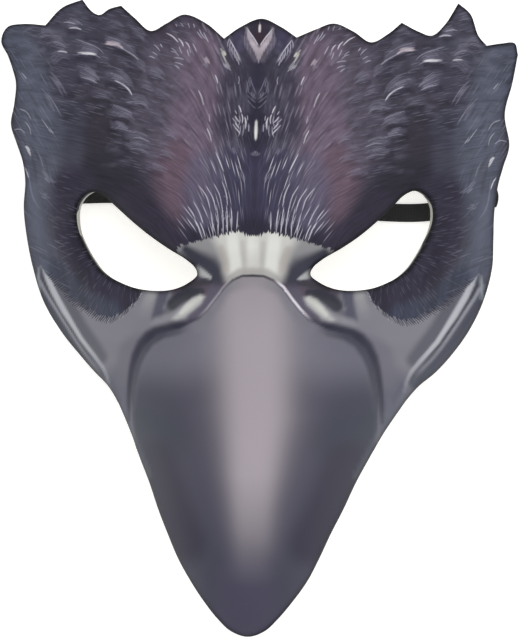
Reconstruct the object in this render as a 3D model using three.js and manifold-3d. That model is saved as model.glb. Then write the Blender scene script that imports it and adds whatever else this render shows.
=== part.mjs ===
// A crow masquerade mask in millimetres, lying on its back, +Z up, beak towards -Y.
// The mask is one sheet of moulded foam: a height over the plan gives its front face,
// and its back face follows at the sheet's thickness. A flat elastic strap lies under it.
import * as THREE from 'three';
import { mergeVertices } from 'three/addons/utils/BufferGeometryUtils.js';
import Module from 'manifold-3d';

// Driving dimensions
const thickness = 2.5; // foam with its printed cover
const cell = 4.3; // spacing of the sheet's facets
const edgeStep = 3.9; // spacing of points along the outer cut edge
const eyeStep = edgeStep * 0.85; // and along an eye hole
const cheekSkew = { amount: 2.1, at: -38, reach: 17 }; // the cheeks' cut is off centre round this y
const tipSkew = { amount: 0.9, from: 95, to: 112 }; // and the beak's tip, below these distances from the arch
const eyeNarrowing = { amount: 3.2, from: 35, to: 68 }; // the right eye hole is narrower at its outer end
const backFollow = 0.6; // the share of the modelling that the plain back face follows
const strap = { width: 7, thickness: 0.9, lift: 0.1, steps: 40 };

// Across the mask at y: height on the centre line, height at the rim, and half widths left and right
const stations = [
  { y: -140, crown: 80, rim: 94, left: 11, right: 11 },
  { y: -127, crown: 95, rim: 91, left: 14, right: 14 },
  { y: -112, crown: 102.5, rim: 84, left: 22, right: 22 },
  { y: -92, crown: 103.5, rim: 71, left: 32, right: 32 },
  { y: -72, crown: 98, rim: 49, left: 42, right: 42 },
  { y: -54, crown: 90, rim: 30, left: 52, right: 53 },
  { y: -36, crown: 78.5, rim: 11, left: 67, right: 68.5 },
  { y: -20, crown: 66, rim: 1.9, left: 78.4, right: 80 },
  { y: 0, crown: 54, rim: 1.4, left: 90.4, right: 91 },
  { y: 20, crown: 49.5, rim: 1.7, left: 96, right: 94.5 },
  { y: 55, crown: 37, rim: 1.5, left: 98, right: 96 },
  { y: 90, crown: 17, rim: 1.8, left: 101.4, right: 99.2 },
  { y: 118, crown: 4, rim: 2.2, left: 104, right: 102 },
];

// Broad modelling of the face, the same on both sides: a raised or sunk strip along a line of [across, y]
const strips = [
  {
    name: 'brow',
    height: 3.2,
    reach: 11,
    line: [[4, 12], [25, 15.5], [40, 25], [53, 35], [66, 41], [78, 38]],
  },
  { name: 'socket', height: -3, reach: 15, line: [[33, 1], [47, 8], [58, 19]] },
  {
    name: 'cheek roll',
    height: 1.6,
    reach: 8,
    line: [[28, -11], [42, -12.5], [56, -8.5], [67, 1.5], [76, 17]],
  },
  { name: 'nostril fold', height: 2.4, reach: 6, line: [[18, -8], [23, -11.5], [28.5, -15.5]] },
  { name: 'nostril', height: -1.6, reach: 5, line: [[20, -4.5], [26, -6.2], [31, -8]] },
];

// The horny beak stands proud of the face inside this line, which starts at the arch on the centre line
const beakStep = { height: 1.3, from: -1.5, to: 2.5 };
const beakBorder = [
  [0, 0.3], [5, -0.3], [9.5, -2.5], [14.7, -9], [20.5, -16], [27, -19.6],
  [35, -21.5], [40.5, -26.3], [43.8, -33.5], [45.8, -46], [45, -62],
];

// The cut edge of the sheet, in strokes that meet at sharp corners
const topScallops = [
  [[-99.2, 87], [-101.9, 92.6], [-99.4, 98], [-92.8, 99.1], [-84, 98.3]],
  [[-84, 98.3], [-77.4, 105.1], [-69.5, 108.2]],
  [[-69.5, 108.2], [-65.5, 103.3], [-62.4, 101.9], [-58.8, 104.2], [-54.2, 105.5]],
  [[-54.2, 105.5], [-48.6, 100.4], [-42.1, 95.1], [-36, 98.1], [-29.4, 101.5], [-21, 98], [-13.6, 91.6]],
  [[-13.6, 91.6], [-7.4, 96.2], [0.5, 99.5], [7.6, 96.4], [14.2, 91.8]],
  [[14.2, 91.8], [21.3, 95], [28.3, 97.4], [35.8, 94.2], [42.6, 89.9], [49, 93.3], [54.2, 97.8]],
  [[54.2, 97.8], [60.5, 94.4], [65.8, 92.8], [70.8, 97.3], [75.9, 105.6]],
  [[75.9, 105.6], [80.6, 101.3], [83.6, 93], [86.8, 89.2]],
  [[86.8, 89.2], [92.6, 90.2], [97.6, 90.4], [98.9, 86]],
];
const leftTemple = [
  [-88.7, 4], [-91.3, 15.4], [-92.6, 27.5], [-91.9, 37.5], [-93.1, 45.5], [-95.8, 52.8],
  [-98.2, 60.2], [-96.7, 68], [-95.9, 76], [-97.4, 82], [-99.2, 87],
];
const rightTemple = [
  [98.9, 86], [96.8, 75], [93.9, 63], [95.7, 50.9], [93.4, 43],
  [91.3, 35.6], [89.8, 25], [89.5, 14.5], [88.7, 3],
];
const cheekAndBeak = [
  [89, 3.5], [85.1, -10.3], [79, -21.2], [71, -30.6], [65, -36.4], [58.9, -41.2], [55, -45.8],
  [51.7, -51], [47.3, -58.3], [42.5, -67], [37.9, -75.4], [33.8, -84], [29.6, -92],
  [25.3, -100.6], [20.8, -108], [15.6, -114.8], [10.6, -120.5], [5.9, -124.7], [0, -126.7],
];
const eyeHole = [
  [21, 0.6], [21.9, 3.2], [25.6, 6.3], [32.2, 10.2], [39, 14.8], [46.2, 20.4], [53.4, 26.6], [58, 30.5],
  [62.4, 32.2], [66.3, 30.8], [68.8, 27.5], [69.3, 22.5], [68.3, 17.6], [66.2, 12.9], [63.3, 7.9],
  [59.6, 3.2], [55.4, 0.1], [50.2, -2.3], [44.4, -4.2], [37.6, -5.1], [30.8, -4.8], [24.8, -2.6],
];

// The strap's middle line: its right end shows past the rim, and the slack lies on the table
const strapRoute = [
  [-90.8, 33.6, 2.0], [-86.5, 33.4, 1.9], [-80.5, 33.0, 1.1], [-73, 32.7, 0.15], [-60, 32.9, 0],
  [-30, 32.4, 0], [0, 30.6, 0], [26, 27.7, 0], [45, 25.7, 0], [62, 25.4, 0],
  [74, 27.2, 0.15], [81, 28.8, 1.2], [87.3, 30.2, 2.2], [92.4, 31.3, 2.3],
];

const flat = (points) => points.map(([x, y]) => new THREE.Vector3(x, y, 0));

// Points along a smooth curve through the given ones, at an even spacing
function along(points, step, closed = false) {
  const curve = new THREE.CatmullRomCurve3(flat(points), closed, 'centripetal');
  curve.arcLengthDivisions = 400;
  return curve.getSpacedPoints(Math.max(2, Math.round(curve.getLength() / step)));
}

// How far a point is from a line of straight pieces
function distanceTo(line, x, y) {
  let nearest = Infinity;
  for (let i = 0; i + 1 < line.length; i += 1) {
    const [ax, ay] = line[i];
    const [bx, by] = line[i + 1];
    const dx = bx - ax;
    const dy = by - ay;
    const t = THREE.MathUtils.clamp(((x - ax) * dx + (y - ay) * dy) / (dx * dx + dy * dy), 0, 1);
    nearest = Math.min(nearest, Math.hypot(x - ax - t * dx, y - ay - t * dy));
  }
  return nearest;
}

// Slopes of a smooth curve through the stations, so that a value can be read at any y
const slopes = {};
for (const key of ['crown', 'rim', 'left', 'right']) {
  slopes[key] = stations.map((s, i) => {
    const before = stations[Math.max(i - 1, 0)];
    const after = stations[Math.min(i + 1, stations.length - 1)];
    return (after[key] - before[key]) / (after.y - before.y);
  });
}

function stationValue(key, y) {
  let i = 0;
  while (i < stations.length - 2 && y > stations[i + 1].y) i += 1;
  const h = stations[i + 1].y - stations[i].y;
  const t = THREE.MathUtils.clamp((y - stations[i].y) / h, 0, 1);
  const [v0, v1] = [stations[i][key], stations[i + 1][key]];
  const [m0, m1] = [slopes[key][i] * h, slopes[key][i + 1] * h];
  return v0 + t * (m0 + t * (3 * (v1 - v0) - 2 * m0 - m1 + t * (2 * (v0 - v1) + m0 + m1)));
}

// The dome of the face and the ridge of the beak
function dome(x, y) {
  const rim = stationValue('rim', y);
  const half = stationValue(x < 0 ? 'left' : 'right', y);
  return rim + (stationValue('crown', y) - rim) * (1 - (x / half) ** 2);
}

// How far across the mask the beak's border lies at y
function borderAt(y) {
  if (y >= beakBorder[0][1]) return -1;
  for (let i = 0; i + 1 < beakBorder.length; i += 1) {
    const [ax, ay] = beakBorder[i];
    const [bx, by] = beakBorder[i + 1];
    if (y <= ay && y > by) return ax + ((y - ay) / (by - ay)) * (bx - ax);
  }
  return 1000;
}

function modelling(x, y) {
  const across = Math.abs(x);
  let height = 0;
  for (const strip of strips) {
    const d = distanceTo(strip.line, across, y) / strip.reach;
    if (d < 1) height += strip.height * (1 - d * d) ** 2;
  }
  const side = across < borderAt(y) ? 1 : -1;
  const d = side * distanceTo(beakBorder, across, y);
  return height + beakStep.height * THREE.MathUtils.smoothstep(d, beakStep.from, beakStep.to);
}

const front = (x, y) => dome(x, y) + modelling(x, y);

// The broad form that the plain back face follows
const backForm = (x, y) => dome(x, y) + modelling(x, y) * backFollow;

const skewAt = (y) =>
  cheekSkew.amount * Math.exp(-(((y - cheekSkew.at) / cheekSkew.reach) ** 2)) +
  tipSkew.amount * THREE.MathUtils.smoothstep(-y, tipSkew.from, tipSkew.to);

function outline() {
  const skewed = (side) => cheekAndBeak.map(([x, y]) => [side * x + skewAt(y), y]);
  const right = [...rightTemple.slice(0, -1), ...skewed(1)];
  const left = [...skewed(-1).reverse().slice(1), ...leftTemple.slice(1)];
  const strokes = [...topScallops, [...right, ...left]];
  const points = strokes.flatMap((stroke) => along(stroke, edgeStep).slice(0, -1));
  return points.map((p) => new THREE.Vector2(p.x, p.y)).reverse();
}

function eye(side) {
  const { amount, from, to } = eyeNarrowing;
  const narrow = side > 0 ? amount : 0;
  const points = eyeHole.map(([x, y]) => [side * (x - narrow * THREE.MathUtils.smoothstep(x, from, to)), y]);
  const edge = along(points, eyeStep, true).slice(0, -1);
  return new THREE.Path(edge.map((p) => new THREE.Vector2(p.x, p.y)));
}

const wasm = await Module();
wasm.setup();

function toSolid(geometry) {
  geometry.deleteAttribute('normal');
  geometry.deleteAttribute('uv');
  const merged = mergeVertices(geometry, 1e-4);
  return new wasm.Manifold(new wasm.Mesh({
    numProp: 3,
    vertProperties: new Float32Array(merged.attributes.position.array),
    triVerts: new Uint32Array(merged.index.array),
  }));
}

function toGeometry(solid) {
  const mesh = solid.getMesh();
  const geometry = new THREE.BufferGeometry();
  geometry.setAttribute('position', new THREE.BufferAttribute(new Float32Array(mesh.vertProperties), 3));
  geometry.setIndex(new THREE.BufferAttribute(new Uint32Array(mesh.triVerts), 1));
  return geometry;
}

// A thick slab under the front face, cut to the outline and the eye holes
function cutSlab(depth) {
  const reach = { x: 108, top: 113, tip: -132 };
  const length = reach.top - reach.tip;
  const cells = [Math.round((2 * reach.x) / cell), Math.round(length / cell)];
  const slab = new THREE.BoxGeometry(2 * reach.x, length, 1, cells[0], cells[1], 1);
  const place = slab.attributes.position;
  for (let i = 0; i < place.count; i += 1) {
    const x = place.getX(i);
    const y = place.getY(i) + (reach.top + reach.tip) / 2;
    place.setXYZ(i, x, y, front(x, y) - (place.getZ(i) > 0 ? 0 : depth));
  }
  const shape = new THREE.Shape(outline());
  shape.holes.push(eye(-1), eye(1));
  const cut = { from: -100, depth: 260 };
  const settings = { depth: cut.depth, bevelEnabled: false, curveSegments: 1 };
  const cutter = new THREE.ExtrudeGeometry(shape, settings);
  cutter.translate(0, 0, cut.from);
  return toSolid(slab).intersect(toSolid(cutter));
}

// The sheet: the slab's lower face comes up to one thickness behind the front, square to it
function moulded() {
  const depth = 24; // of the slab, so that its faces stay apart on the steepest sides
  const geometry = toGeometry(cutSlab(depth));
  const place = geometry.attributes.position;
  const e = 0.05; // half the span over which a slope is measured
  for (let i = 0; i < place.count; i += 1) {
    const x = place.getX(i);
    const y = place.getY(i);
    const height = front(x, y);
    if (place.getZ(i) > height - depth / 2) {
      place.setZ(i, height);
    } else {
      const dx = (backForm(x + e, y) - backForm(x - e, y)) / (2 * e);
      const dy = (backForm(x, y + e) - backForm(x, y - e)) / (2 * e);
      const normal = new THREE.Vector3(-dx, -dy, 1).normalize().multiplyScalar(thickness);
      place.setXYZ(i, x - normal.x, y - normal.y, backForm(x, y) - normal.z);
    }
  }
  const room = 300;
  const above = new THREE.BoxGeometry(room, room, room);
  above.translate(0, 0, room / 2);
  return toGeometry(toSolid(geometry).intersect(toSolid(above)));
}

// A flat band that stays level across its width and follows its route along its length
function strapGeometry() {
  const route = strapRoute.map(([x, y, z]) => new THREE.Vector3(x, y, z + strap.lift + strap.thickness / 2));
  const curve = new THREE.CatmullRomCurve3(route, false, 'centripetal');
  const band = new THREE.BoxGeometry(1, strap.width, strap.thickness, strap.steps, 1, 1);
  const place = band.attributes.position;
  const up = new THREE.Vector3(0, 0, 1);
  for (let i = 0; i < place.count; i += 1) {
    const u = THREE.MathUtils.clamp(place.getX(i) + 0.5, 0, 1);
    const tangent = curve.getTangentAt(u);
    const across = new THREE.Vector3().crossVectors(up, tangent).normalize();
    const normal = new THREE.Vector3().crossVectors(tangent, across);
    const point = curve.getPointAt(u);
    point.addScaledVector(across, place.getY(i)).addScaledVector(normal, place.getZ(i));
    place.setXYZ(i, point.x, point.y, point.z);
  }
  return band;
}

const shell = new THREE.Mesh(
  moulded(),
  new THREE.MeshStandardMaterial({ color: 0x4b4a58, roughness: 0.62, metalness: 0, side: THREE.DoubleSide }),
);
shell.name = 'mask_shell';

const elastic = new THREE.Mesh(
  strapGeometry(),
  new THREE.MeshStandardMaterial({ color: 0x0f1118, roughness: 0.85, metalness: 0 }),
);
elastic.name = 'elastic_strap';

// The origin is under the middle of the sheet's box, on the table
const mask = new THREE.Group();
mask.add(shell, elastic);
const box = new THREE.Box3().setFromBufferAttribute(shell.geometry.attributes.position);
mask.position.set(-(box.min.x + box.max.x) / 2, -(box.min.y + box.max.y) / 2, -box.min.z);

const part = new THREE.Group();
part.add(mask);

export default part;
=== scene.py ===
# Crow masquerade mask: one sheet of moulded foam with a printed cover, and a flat elastic strap.
import math

import bmesh
import bpy
import numpy as np
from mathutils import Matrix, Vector
from mathutils.kdtree import KDTree


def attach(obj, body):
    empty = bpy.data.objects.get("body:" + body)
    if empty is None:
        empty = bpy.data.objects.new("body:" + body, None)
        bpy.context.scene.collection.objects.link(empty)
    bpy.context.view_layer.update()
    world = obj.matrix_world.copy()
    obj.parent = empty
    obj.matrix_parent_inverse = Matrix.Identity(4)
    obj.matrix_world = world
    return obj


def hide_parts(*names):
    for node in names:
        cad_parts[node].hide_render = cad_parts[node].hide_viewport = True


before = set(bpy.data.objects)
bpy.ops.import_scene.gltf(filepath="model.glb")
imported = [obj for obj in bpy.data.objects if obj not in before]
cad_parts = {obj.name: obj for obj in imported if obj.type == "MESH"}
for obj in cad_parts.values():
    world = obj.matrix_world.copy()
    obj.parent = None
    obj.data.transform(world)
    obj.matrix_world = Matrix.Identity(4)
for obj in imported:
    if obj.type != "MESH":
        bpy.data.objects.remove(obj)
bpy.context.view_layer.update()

milli = 0.001
archPoint = (1.376, 9.236)  # the arch of the beak's base on the centre line, in the frame, mm
print("frame loaded")


def linear(hexColour):
    parts = [int(hexColour[i:i + 2], 16) / 255 for i in (1, 3, 5)]
    return np.array([p / 12.92 if p <= 0.04045 else ((p + 0.055) / 1.055) ** 2.4 for p in parts])


def colour(hexColour):
    return (*linear(hexColour), 1)


def node(tree, kind, inputs=None, **settings):
    made = tree.nodes.new("ShaderNode" + kind)
    for name, value in settings.items():
        setattr(made, name, value)
    for key, value in (inputs or {}).items():
        if isinstance(value, bpy.types.NodeSocket):
            tree.links.new(value, made.inputs[key])
        else:
            made.inputs[key].default_value = value
    return made


def inFrame(x, y, z):  # from mm beside the arch point to metres in the frame
    return (x + archPoint[0]) * milli, (y + archPoint[1]) * milli, z * milli


def linked(name, data):
    made = bpy.data.objects.new(name, data)
    bpy.context.collection.objects.link(made)
    return made


def meshObject(name, bm):
    mesh = bpy.data.meshes.new(name)
    bm.to_mesh(mesh)
    bm.free()
    return linked(name, mesh)


def newMaterial(name):
    made = bpy.data.materials.new(name)
    made.use_nodes = True
    made.node_tree.nodes.clear()
    return made, made.node_tree


# Camera: above the mask, turned a little to its right side
camera = {
    "target": (2.05, -16.1, 40.0),  # from the arch point, mm
    "distance": 900.0,
    "turn": 3.5,  # degrees
    "lens": 136.27,
    "sensor": 36,
    "clip": (0.01, 50),  # metres
}


def makeCamera():
    turn = math.radians(camera["turn"])
    x, y, z = camera["target"]
    away = camera["distance"]
    data = bpy.data.cameras.new("camera")
    data.lens = camera["lens"]
    data.sensor_width = camera["sensor"]
    data.clip_start, data.clip_end = camera["clip"]
    made = linked("camera", data)
    made.location = inFrame(x + away * math.sin(turn), y, z + away * math.cos(turn))
    made.rotation_euler = (0, turn, 0)
    bpy.context.scene.camera = made


makeCamera()

# Across the mask at y: height on the centre line, height at the rim, and half widths left and right, mm
stations = np.array([
    (-140, 80, 94, 11, 11),
    (-127, 95, 91, 14, 14),
    (-112, 102.5, 84, 22, 22),
    (-92, 103.5, 71, 32, 32),
    (-72, 98, 49, 42, 42),
    (-54, 90, 30, 52, 53),
    (-36, 78.5, 11, 67, 68.5),
    (-20, 66, 1.9, 78.4, 80),
    (0, 54, 1.4, 90.4, 91),
    (20, 49.5, 1.7, 96, 94.5),
    (55, 37, 1.5, 98, 96),
    (90, 17, 1.8, 101.4, 99.2),
    (118, 4, 2.2, 104, 102),
], float)

# Raised or sunk strips of the moulded face, the same on both sides: name, height, reach, line of (across, y)
broadStrips = [
    ("brow", 3.2, 11, [(4, 12), (25, 15.5), (40, 25), (53, 35), (66, 41), (78, 38)]),
    ("socket", -3, 15, [(33, 1), (47, 8), (58, 19)]),
    ("cheek roll", 1.6, 8, [(28, -11), (42, -12.5), (56, -8.5), (67, 1.5), (76, 17)]),
    ("nostril fold", 2.4, 6, [(18, -8), (23, -11.5), (28.5, -15.5)]),
    ("nostril", -1.6, 5, [(20, -4.5), (26, -6.2), (31, -8)]),
]
fineStrips = [
    ("groove at the beak", -0.9, 3.0, [(17, -14.6), (23, -19.2), (30, -21), (36.5, -23), (41.2, -28),
        (44, -36), (46, -48)]),
    ("lip of the arch", 0.5, 1.6, [(0, 0.9), (5.5, 0.2), (10.2, -2.2), (15, -8.2)]),
    ("nostril slit", -1.1, 3.0, [(20.5, -7), (25.5, -7.4), (30, -8.8)]),
    ("second fold", -0.7, 3.0, [(36.5, -8), (35, -15)]),
    ("gape", 0.9, 2.2, [(85, 1), (81, -5.8), (75.5, -15.5), (69.5, -24.3), (63, -32.2), (57, -38.5),
        (52.5, -46)]),
    ("gape groove", -0.7, 2.0, [(85.8, -4), (80, -13.5), (74.2, -22.4), (66.5, -31.4), (60, -38)]),
]
beakStep = {"height": 1.3, "front": (-1.2, 1.6), "back": (-1.5, 2.5)}  # up to the beak, across its border
backFollows = 0.6  # how much of the raised strips shows on the back
beakBorder = [(0, 0.3), (5, -0.3), (9.5, -2.5), (14.7, -9), (20.5, -16), (27, -19.6), (35, -21.5),
    (40.5, -26.3), (43.8, -33.5), (45.8, -46), (45, -62)]

# The cut edge of the sheet, in strokes that meet at sharp corners
topScallops = [
    [(-99.2, 87), (-101.9, 92.6), (-99.4, 98), (-92.8, 99.1), (-84, 98.3)],
    [(-84, 98.3), (-77.4, 105.1), (-69.5, 108.2)],
    [(-69.5, 108.2), (-65.5, 103.3), (-62.4, 101.9), (-58.8, 104.2), (-54.2, 105.5)],
    [(-54.2, 105.5), (-48.6, 100.4), (-42.1, 95.1), (-36, 98.1), (-29.4, 101.5), (-21, 98), (-13.6, 91.6)],
    [(-13.6, 91.6), (-7.4, 96.2), (0.5, 99.5), (7.6, 96.4), (14.2, 91.8)],
    [(14.2, 91.8), (21.3, 95), (28.3, 97.4), (35.8, 94.2), (42.6, 89.9), (49, 93.3), (54.2, 97.8)],
    [(54.2, 97.8), (60.5, 94.4), (65.8, 92.8), (70.8, 97.3), (75.9, 105.6)],
    [(75.9, 105.6), (80.6, 101.3), (83.6, 93), (86.8, 89.2)],
    [(86.8, 89.2), (92.6, 90.2), (97.6, 90.4), (98.9, 86)],
]
leftTemple = [(-88.7, 4), (-91.3, 15.4), (-92.6, 27.5), (-91.9, 37.5), (-93.1, 45.5), (-95.8, 52.8),
    (-98.2, 60.2), (-96.7, 68), (-95.9, 76), (-97.4, 82), (-99.2, 87)]
rightTemple = [(98.9, 86), (96.8, 75), (93.9, 63), (95.7, 50.9), (93.4, 43), (91.3, 35.6), (89.8, 25),
    (89.5, 14.5), (88.7, 3)]
cheekAndBeak = [(89, 3.5), (85.1, -10.3), (79, -21.2), (71, -30.6), (65, -36.4), (58.9, -41.2), (55, -45.8),
    (51.7, -51), (47.3, -58.3), (42.5, -67), (37.9, -75.4), (33.8, -84), (29.6, -92), (25.3, -100.6),
    (20.8, -108), (15.6, -114.8), (10.6, -120.5), (5.9, -124.7), (0, -126.7)]
eyeHole = [(21, 0.6), (21.9, 3.2), (25.6, 6.3), (32.2, 10.2), (39, 14.8), (46.2, 20.4), (53.4, 26.6),
    (58, 30.5), (62.4, 32.2), (66.3, 30.8), (68.8, 27.5), (69.3, 22.5), (68.3, 17.6), (66.2, 12.9),
    (63.3, 7.9), (59.6, 3.2), (55.4, 0.1), (50.2, -2.3), (44.4, -4.2), (37.6, -5.1), (30.8, -4.8),
    (24.8, -2.6)]


# The mask isn't quite even: its cheeks and its tip lie a little to the right, and its right eye hole is shorter
cheekSkew = {"amount": 2.1, "at": -38, "reach": 17}
tipSkew = {"amount": 0.9, "from": 95, "to": 112}
eyeSkew = {"amount": 3.2, "from": 35, "to": 68}


def smoothStep(value, low, high):
    t = np.clip((value - low) / (high - low), 0, 1)
    return t * t * (3 - 2 * t)


def stationValue(column, y):
    at, value = stations[:, 0], stations[:, column]
    slope = np.empty(len(at))
    slope[1:-1] = (value[2:] - value[:-2]) / (at[2:] - at[:-2])
    slope[0] = (value[1] - value[0]) / (at[1] - at[0])
    slope[-1] = (value[-1] - value[-2]) / (at[-1] - at[-2])
    i = np.clip(np.searchsorted(at, y) - 1, 0, len(at) - 2)
    h = at[i + 1] - at[i]
    t = np.clip((y - at[i]) / h, 0, 1)
    m0, m1, rise = slope[i] * h, slope[i + 1] * h, value[i + 1] - value[i]
    return value[i] + t * (m0 + t * (3 * rise - 2 * m0 - m1 + t * (m0 + m1 - 2 * rise)))


def alongLine(line, x, y):  # how far a point is from a line, and how far along the line its foot is
    line = np.array(line, float)
    lengths = np.concatenate([[0], np.cumsum(np.linalg.norm(np.diff(line, axis=0), axis=1))])
    nearest, share = np.full(np.shape(x), 1e9), np.zeros(np.shape(x))
    for i, ((ax, ay), (bx, by)) in enumerate(zip(line[:-1], line[1:])):
        dx, dy = bx - ax, by - ay
        t = np.clip(((x - ax) * dx + (y - ay) * dy) / (dx * dx + dy * dy), 0, 1)
        away = np.hypot(x - ax - t * dx, y - ay - t * dy)
        share = np.where(away < nearest, (lengths[i] + t * (lengths[i + 1] - lengths[i])) / lengths[-1], share)
        nearest = np.minimum(nearest, away)
    return nearest, share


def stripHeights(strips, across, y):
    height = np.zeros(np.shape(across))
    for _, rise, reach, line in strips:
        d = np.minimum(alongLine(line, across, y)[0] / reach, 1)
        height += rise * (1 - d * d) ** 2
    return height


def beakDepth(across, y):  # how far inside the beak's border a point is
    border = np.array(beakBorder)
    reach = np.interp(-y, -border[:, 1], border[:, 0], left=-1, right=1000)
    return np.where(across < reach, 1, -1) * alongLine(beakBorder, across, y)[0]


def faceForm(x, y):
    rim = stationValue(2, y)
    half = np.where(x < 0, stationValue(3, y), stationValue(4, y))
    return rim + (stationValue(1, y) - rim) * (1 - (x / half) ** 2)


def backHeight(x, y):
    across = np.abs(x)
    step = beakStep["height"] * smoothStep(beakDepth(across, y), *beakStep["back"])
    return faceForm(x, y) + backFollows * (stripHeights(broadStrips, across, y) + step)


def frontHeight(x, y):
    across = np.abs(x)
    step = beakStep["height"] * smoothStep(beakDepth(across, y), *beakStep["front"])
    return faceForm(x, y) + stripHeights(broadStrips, across, y) + step + stripHeights(fineStrips, across, y)


def penLine(points, step, closed=False):  # a smooth line through the points, at an even spacing
    p = np.array(points, float)
    if closed:
        p = np.vstack([p[-1:], p, p[:2]])
    else:
        p = np.vstack([2 * p[0] - p[1], p, 2 * p[-1] - p[-2]])
    drawn = []
    for i in range(1, len(p) - 2):
        gaps = [max(np.linalg.norm(p[i + k] - p[i + k - 1]), 1e-6) ** 0.5 for k in range(3)]
        knots = np.cumsum([0] + gaps)
        u = np.linspace(knots[1], knots[2], 40, endpoint=False)[:, None]
        a = [((knots[k + 1] - u) * p[i - 1 + k] + (u - knots[k]) * p[i + k]) / gaps[k] for k in range(3)]
        b = [((knots[k + 2] - u) * a[k] + (u - knots[k]) * a[k + 1]) / (knots[k + 2] - knots[k])
            for k in range(2)]
        drawn.append(((knots[2] - u) * b[0] + (u - knots[1]) * b[1]) / gaps[1])
    drawn = np.vstack(drawn + [p[-2:-1]])
    lengths = np.concatenate([[0], np.cumsum(np.linalg.norm(np.diff(drawn, axis=0), axis=1))])
    at = np.linspace(0, lengths[-1], max(3, round(lengths[-1] / step)) + 1)
    return np.column_stack([np.interp(at, lengths, drawn[:, k]) for k in range(drawn.shape[1])])


def sheetEdges(step):  # the outline and the two eye holes
    y = np.array(cheekAndBeak)[:, 1]
    skew = cheekSkew["amount"] * np.exp(-(((y - cheekSkew["at"]) / cheekSkew["reach"]) ** 2))
    skew += tipSkew["amount"] * smoothStep(-y, tipSkew["from"], tipSkew["to"])
    right = rightTemple[:-1] + [(x + s, y) for (x, y), s in zip(cheekAndBeak, skew)]
    left = [(s - x, y) for (x, y), s in zip(cheekAndBeak, skew)][::-1][1:] + leftTemple[1:]
    strokes = topScallops + [right + left]
    outline = np.vstack([penLine(stroke, step)[:-1] for stroke in strokes])
    corners = [stroke[0] for stroke in strokes]
    narrowed = [(x - eyeSkew["amount"] * smoothStep(x, eyeSkew["from"], eyeSkew["to"]), y) for x, y in eyeHole]
    holes = ((-1, eyeHole), (1, narrowed))
    eyes = [penLine([(side * x, y) for x, y in points], step, True)[:-1] for side, points in holes]
    return outline, eyes, corners


def inside(polygon, x, y):
    found = np.zeros(len(x), bool)
    for (ax, ay), (bx, by) in zip(polygon, np.roll(polygon, -1, 0)):
        if ay != by:
            found ^= ((ay > y) != (by > y)) & (x < (bx - ax) * (y - ay) / (by - ay) + ax)
    return found


def nearestOn(points, places):
    tree = KDTree(len(points))
    for i, (x, y) in enumerate(points):
        tree.insert((x, y, 0), i)
    tree.balance()
    return [tree.find((x, y, 0)) for x, y in places]


# The sheet: a grid cut to the outline, given a back and a rim, and set at the moulded heights
sheet = {
    "thickness": 2.5,
    "cell": 1.5,  # of the back and of the plain parts of the front
    "edgeStep": 0.12,  # from point to point of the cut edge
    "merge": 0.06,
    "finer": [0.8, 0.3, 0.08],  # the cells are halved once within each of these distances of a thin mark
    "edgeBand": 1.8,  # and once near the cut edge
    "rimRows": 5,
    "edgeRoll": 0.35,  # the printed edge is drawn down this far by the cutting die
    "edgeReach": 0.9,
    "brightWidth": 0.7,  # the last halving is only for marks this thin
    "brightStrength": 0.55,  # and this strong
    "skin": (-48, 17),  # y of the bare skin, whose cells are halved once
    "nearBeak": 4,  # and once this near the beak's border, as far as the next y
    "nearBeakEnd": -60,
    "slopeStep": 0.05,
}


def cutGrid():
    outline, eyes, corners = sheetEdges(sheet["edgeStep"])
    cell = sheet["cell"]
    low, high = outline.min(0) - 2 * cell, outline.max(0) + 2 * cell
    cells = np.round((high - low) / cell).astype(int)
    bm = bmesh.new()
    bmesh.ops.create_grid(bm, x_segments=int(cells[0]), y_segments=int(cells[1]), size=0.5)
    bmesh.ops.scale(bm, verts=bm.verts, vec=(high[0] - low[0], high[1] - low[1], 1))
    bmesh.ops.translate(bm, verts=bm.verts, vec=((low[0] + high[0]) / 2, (low[1] + high[1]) / 2, 0))
    centres = np.array([f.calc_center_median()[:2] for f in bm.faces])
    kept = inside(outline[::7], centres[:, 0], centres[:, 1])
    for eye in eyes:
        kept &= ~inside(eye[::4], centres[:, 0], centres[:, 1])
    bmesh.ops.delete(bm, geom=[f for f, k in zip(bm.faces, kept) if not k], context="FACES")
    edge = np.vstack([outline, *eyes])
    for turn in range(3):
        rim = [v for v in bm.verts if v.is_boundary]
        if turn:
            bmesh.ops.smooth_vert(bm, verts=rim, factor=0.5, use_axis_x=True, use_axis_y=True)
        for v, (place, _, _) in zip(rim, nearestOn(edge, [v.co[:2] for v in rim])):
            v.co = place
        rings = ringAround(rim)
        rings |= ringAround(rings)
        bmesh.ops.smooth_vert(bm, verts=list(rings), factor=0.5, use_axis_x=True, use_axis_y=True)
    rim = [v for v in bm.verts if v.is_boundary]
    for place, (_, i, _) in zip(corners, nearestOn([v.co[:2] for v in rim], corners)):
        rim[i].co = (*place, 0)
    bmesh.ops.remove_doubles(bm, verts=rim, dist=sheet["merge"])
    return bm, edge, corners


def ringAround(verts):  # the inner neighbours of these
    return {e.other_vert(v) for v in verts for e in v.link_edges if not e.other_vert(v).is_boundary}


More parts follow.
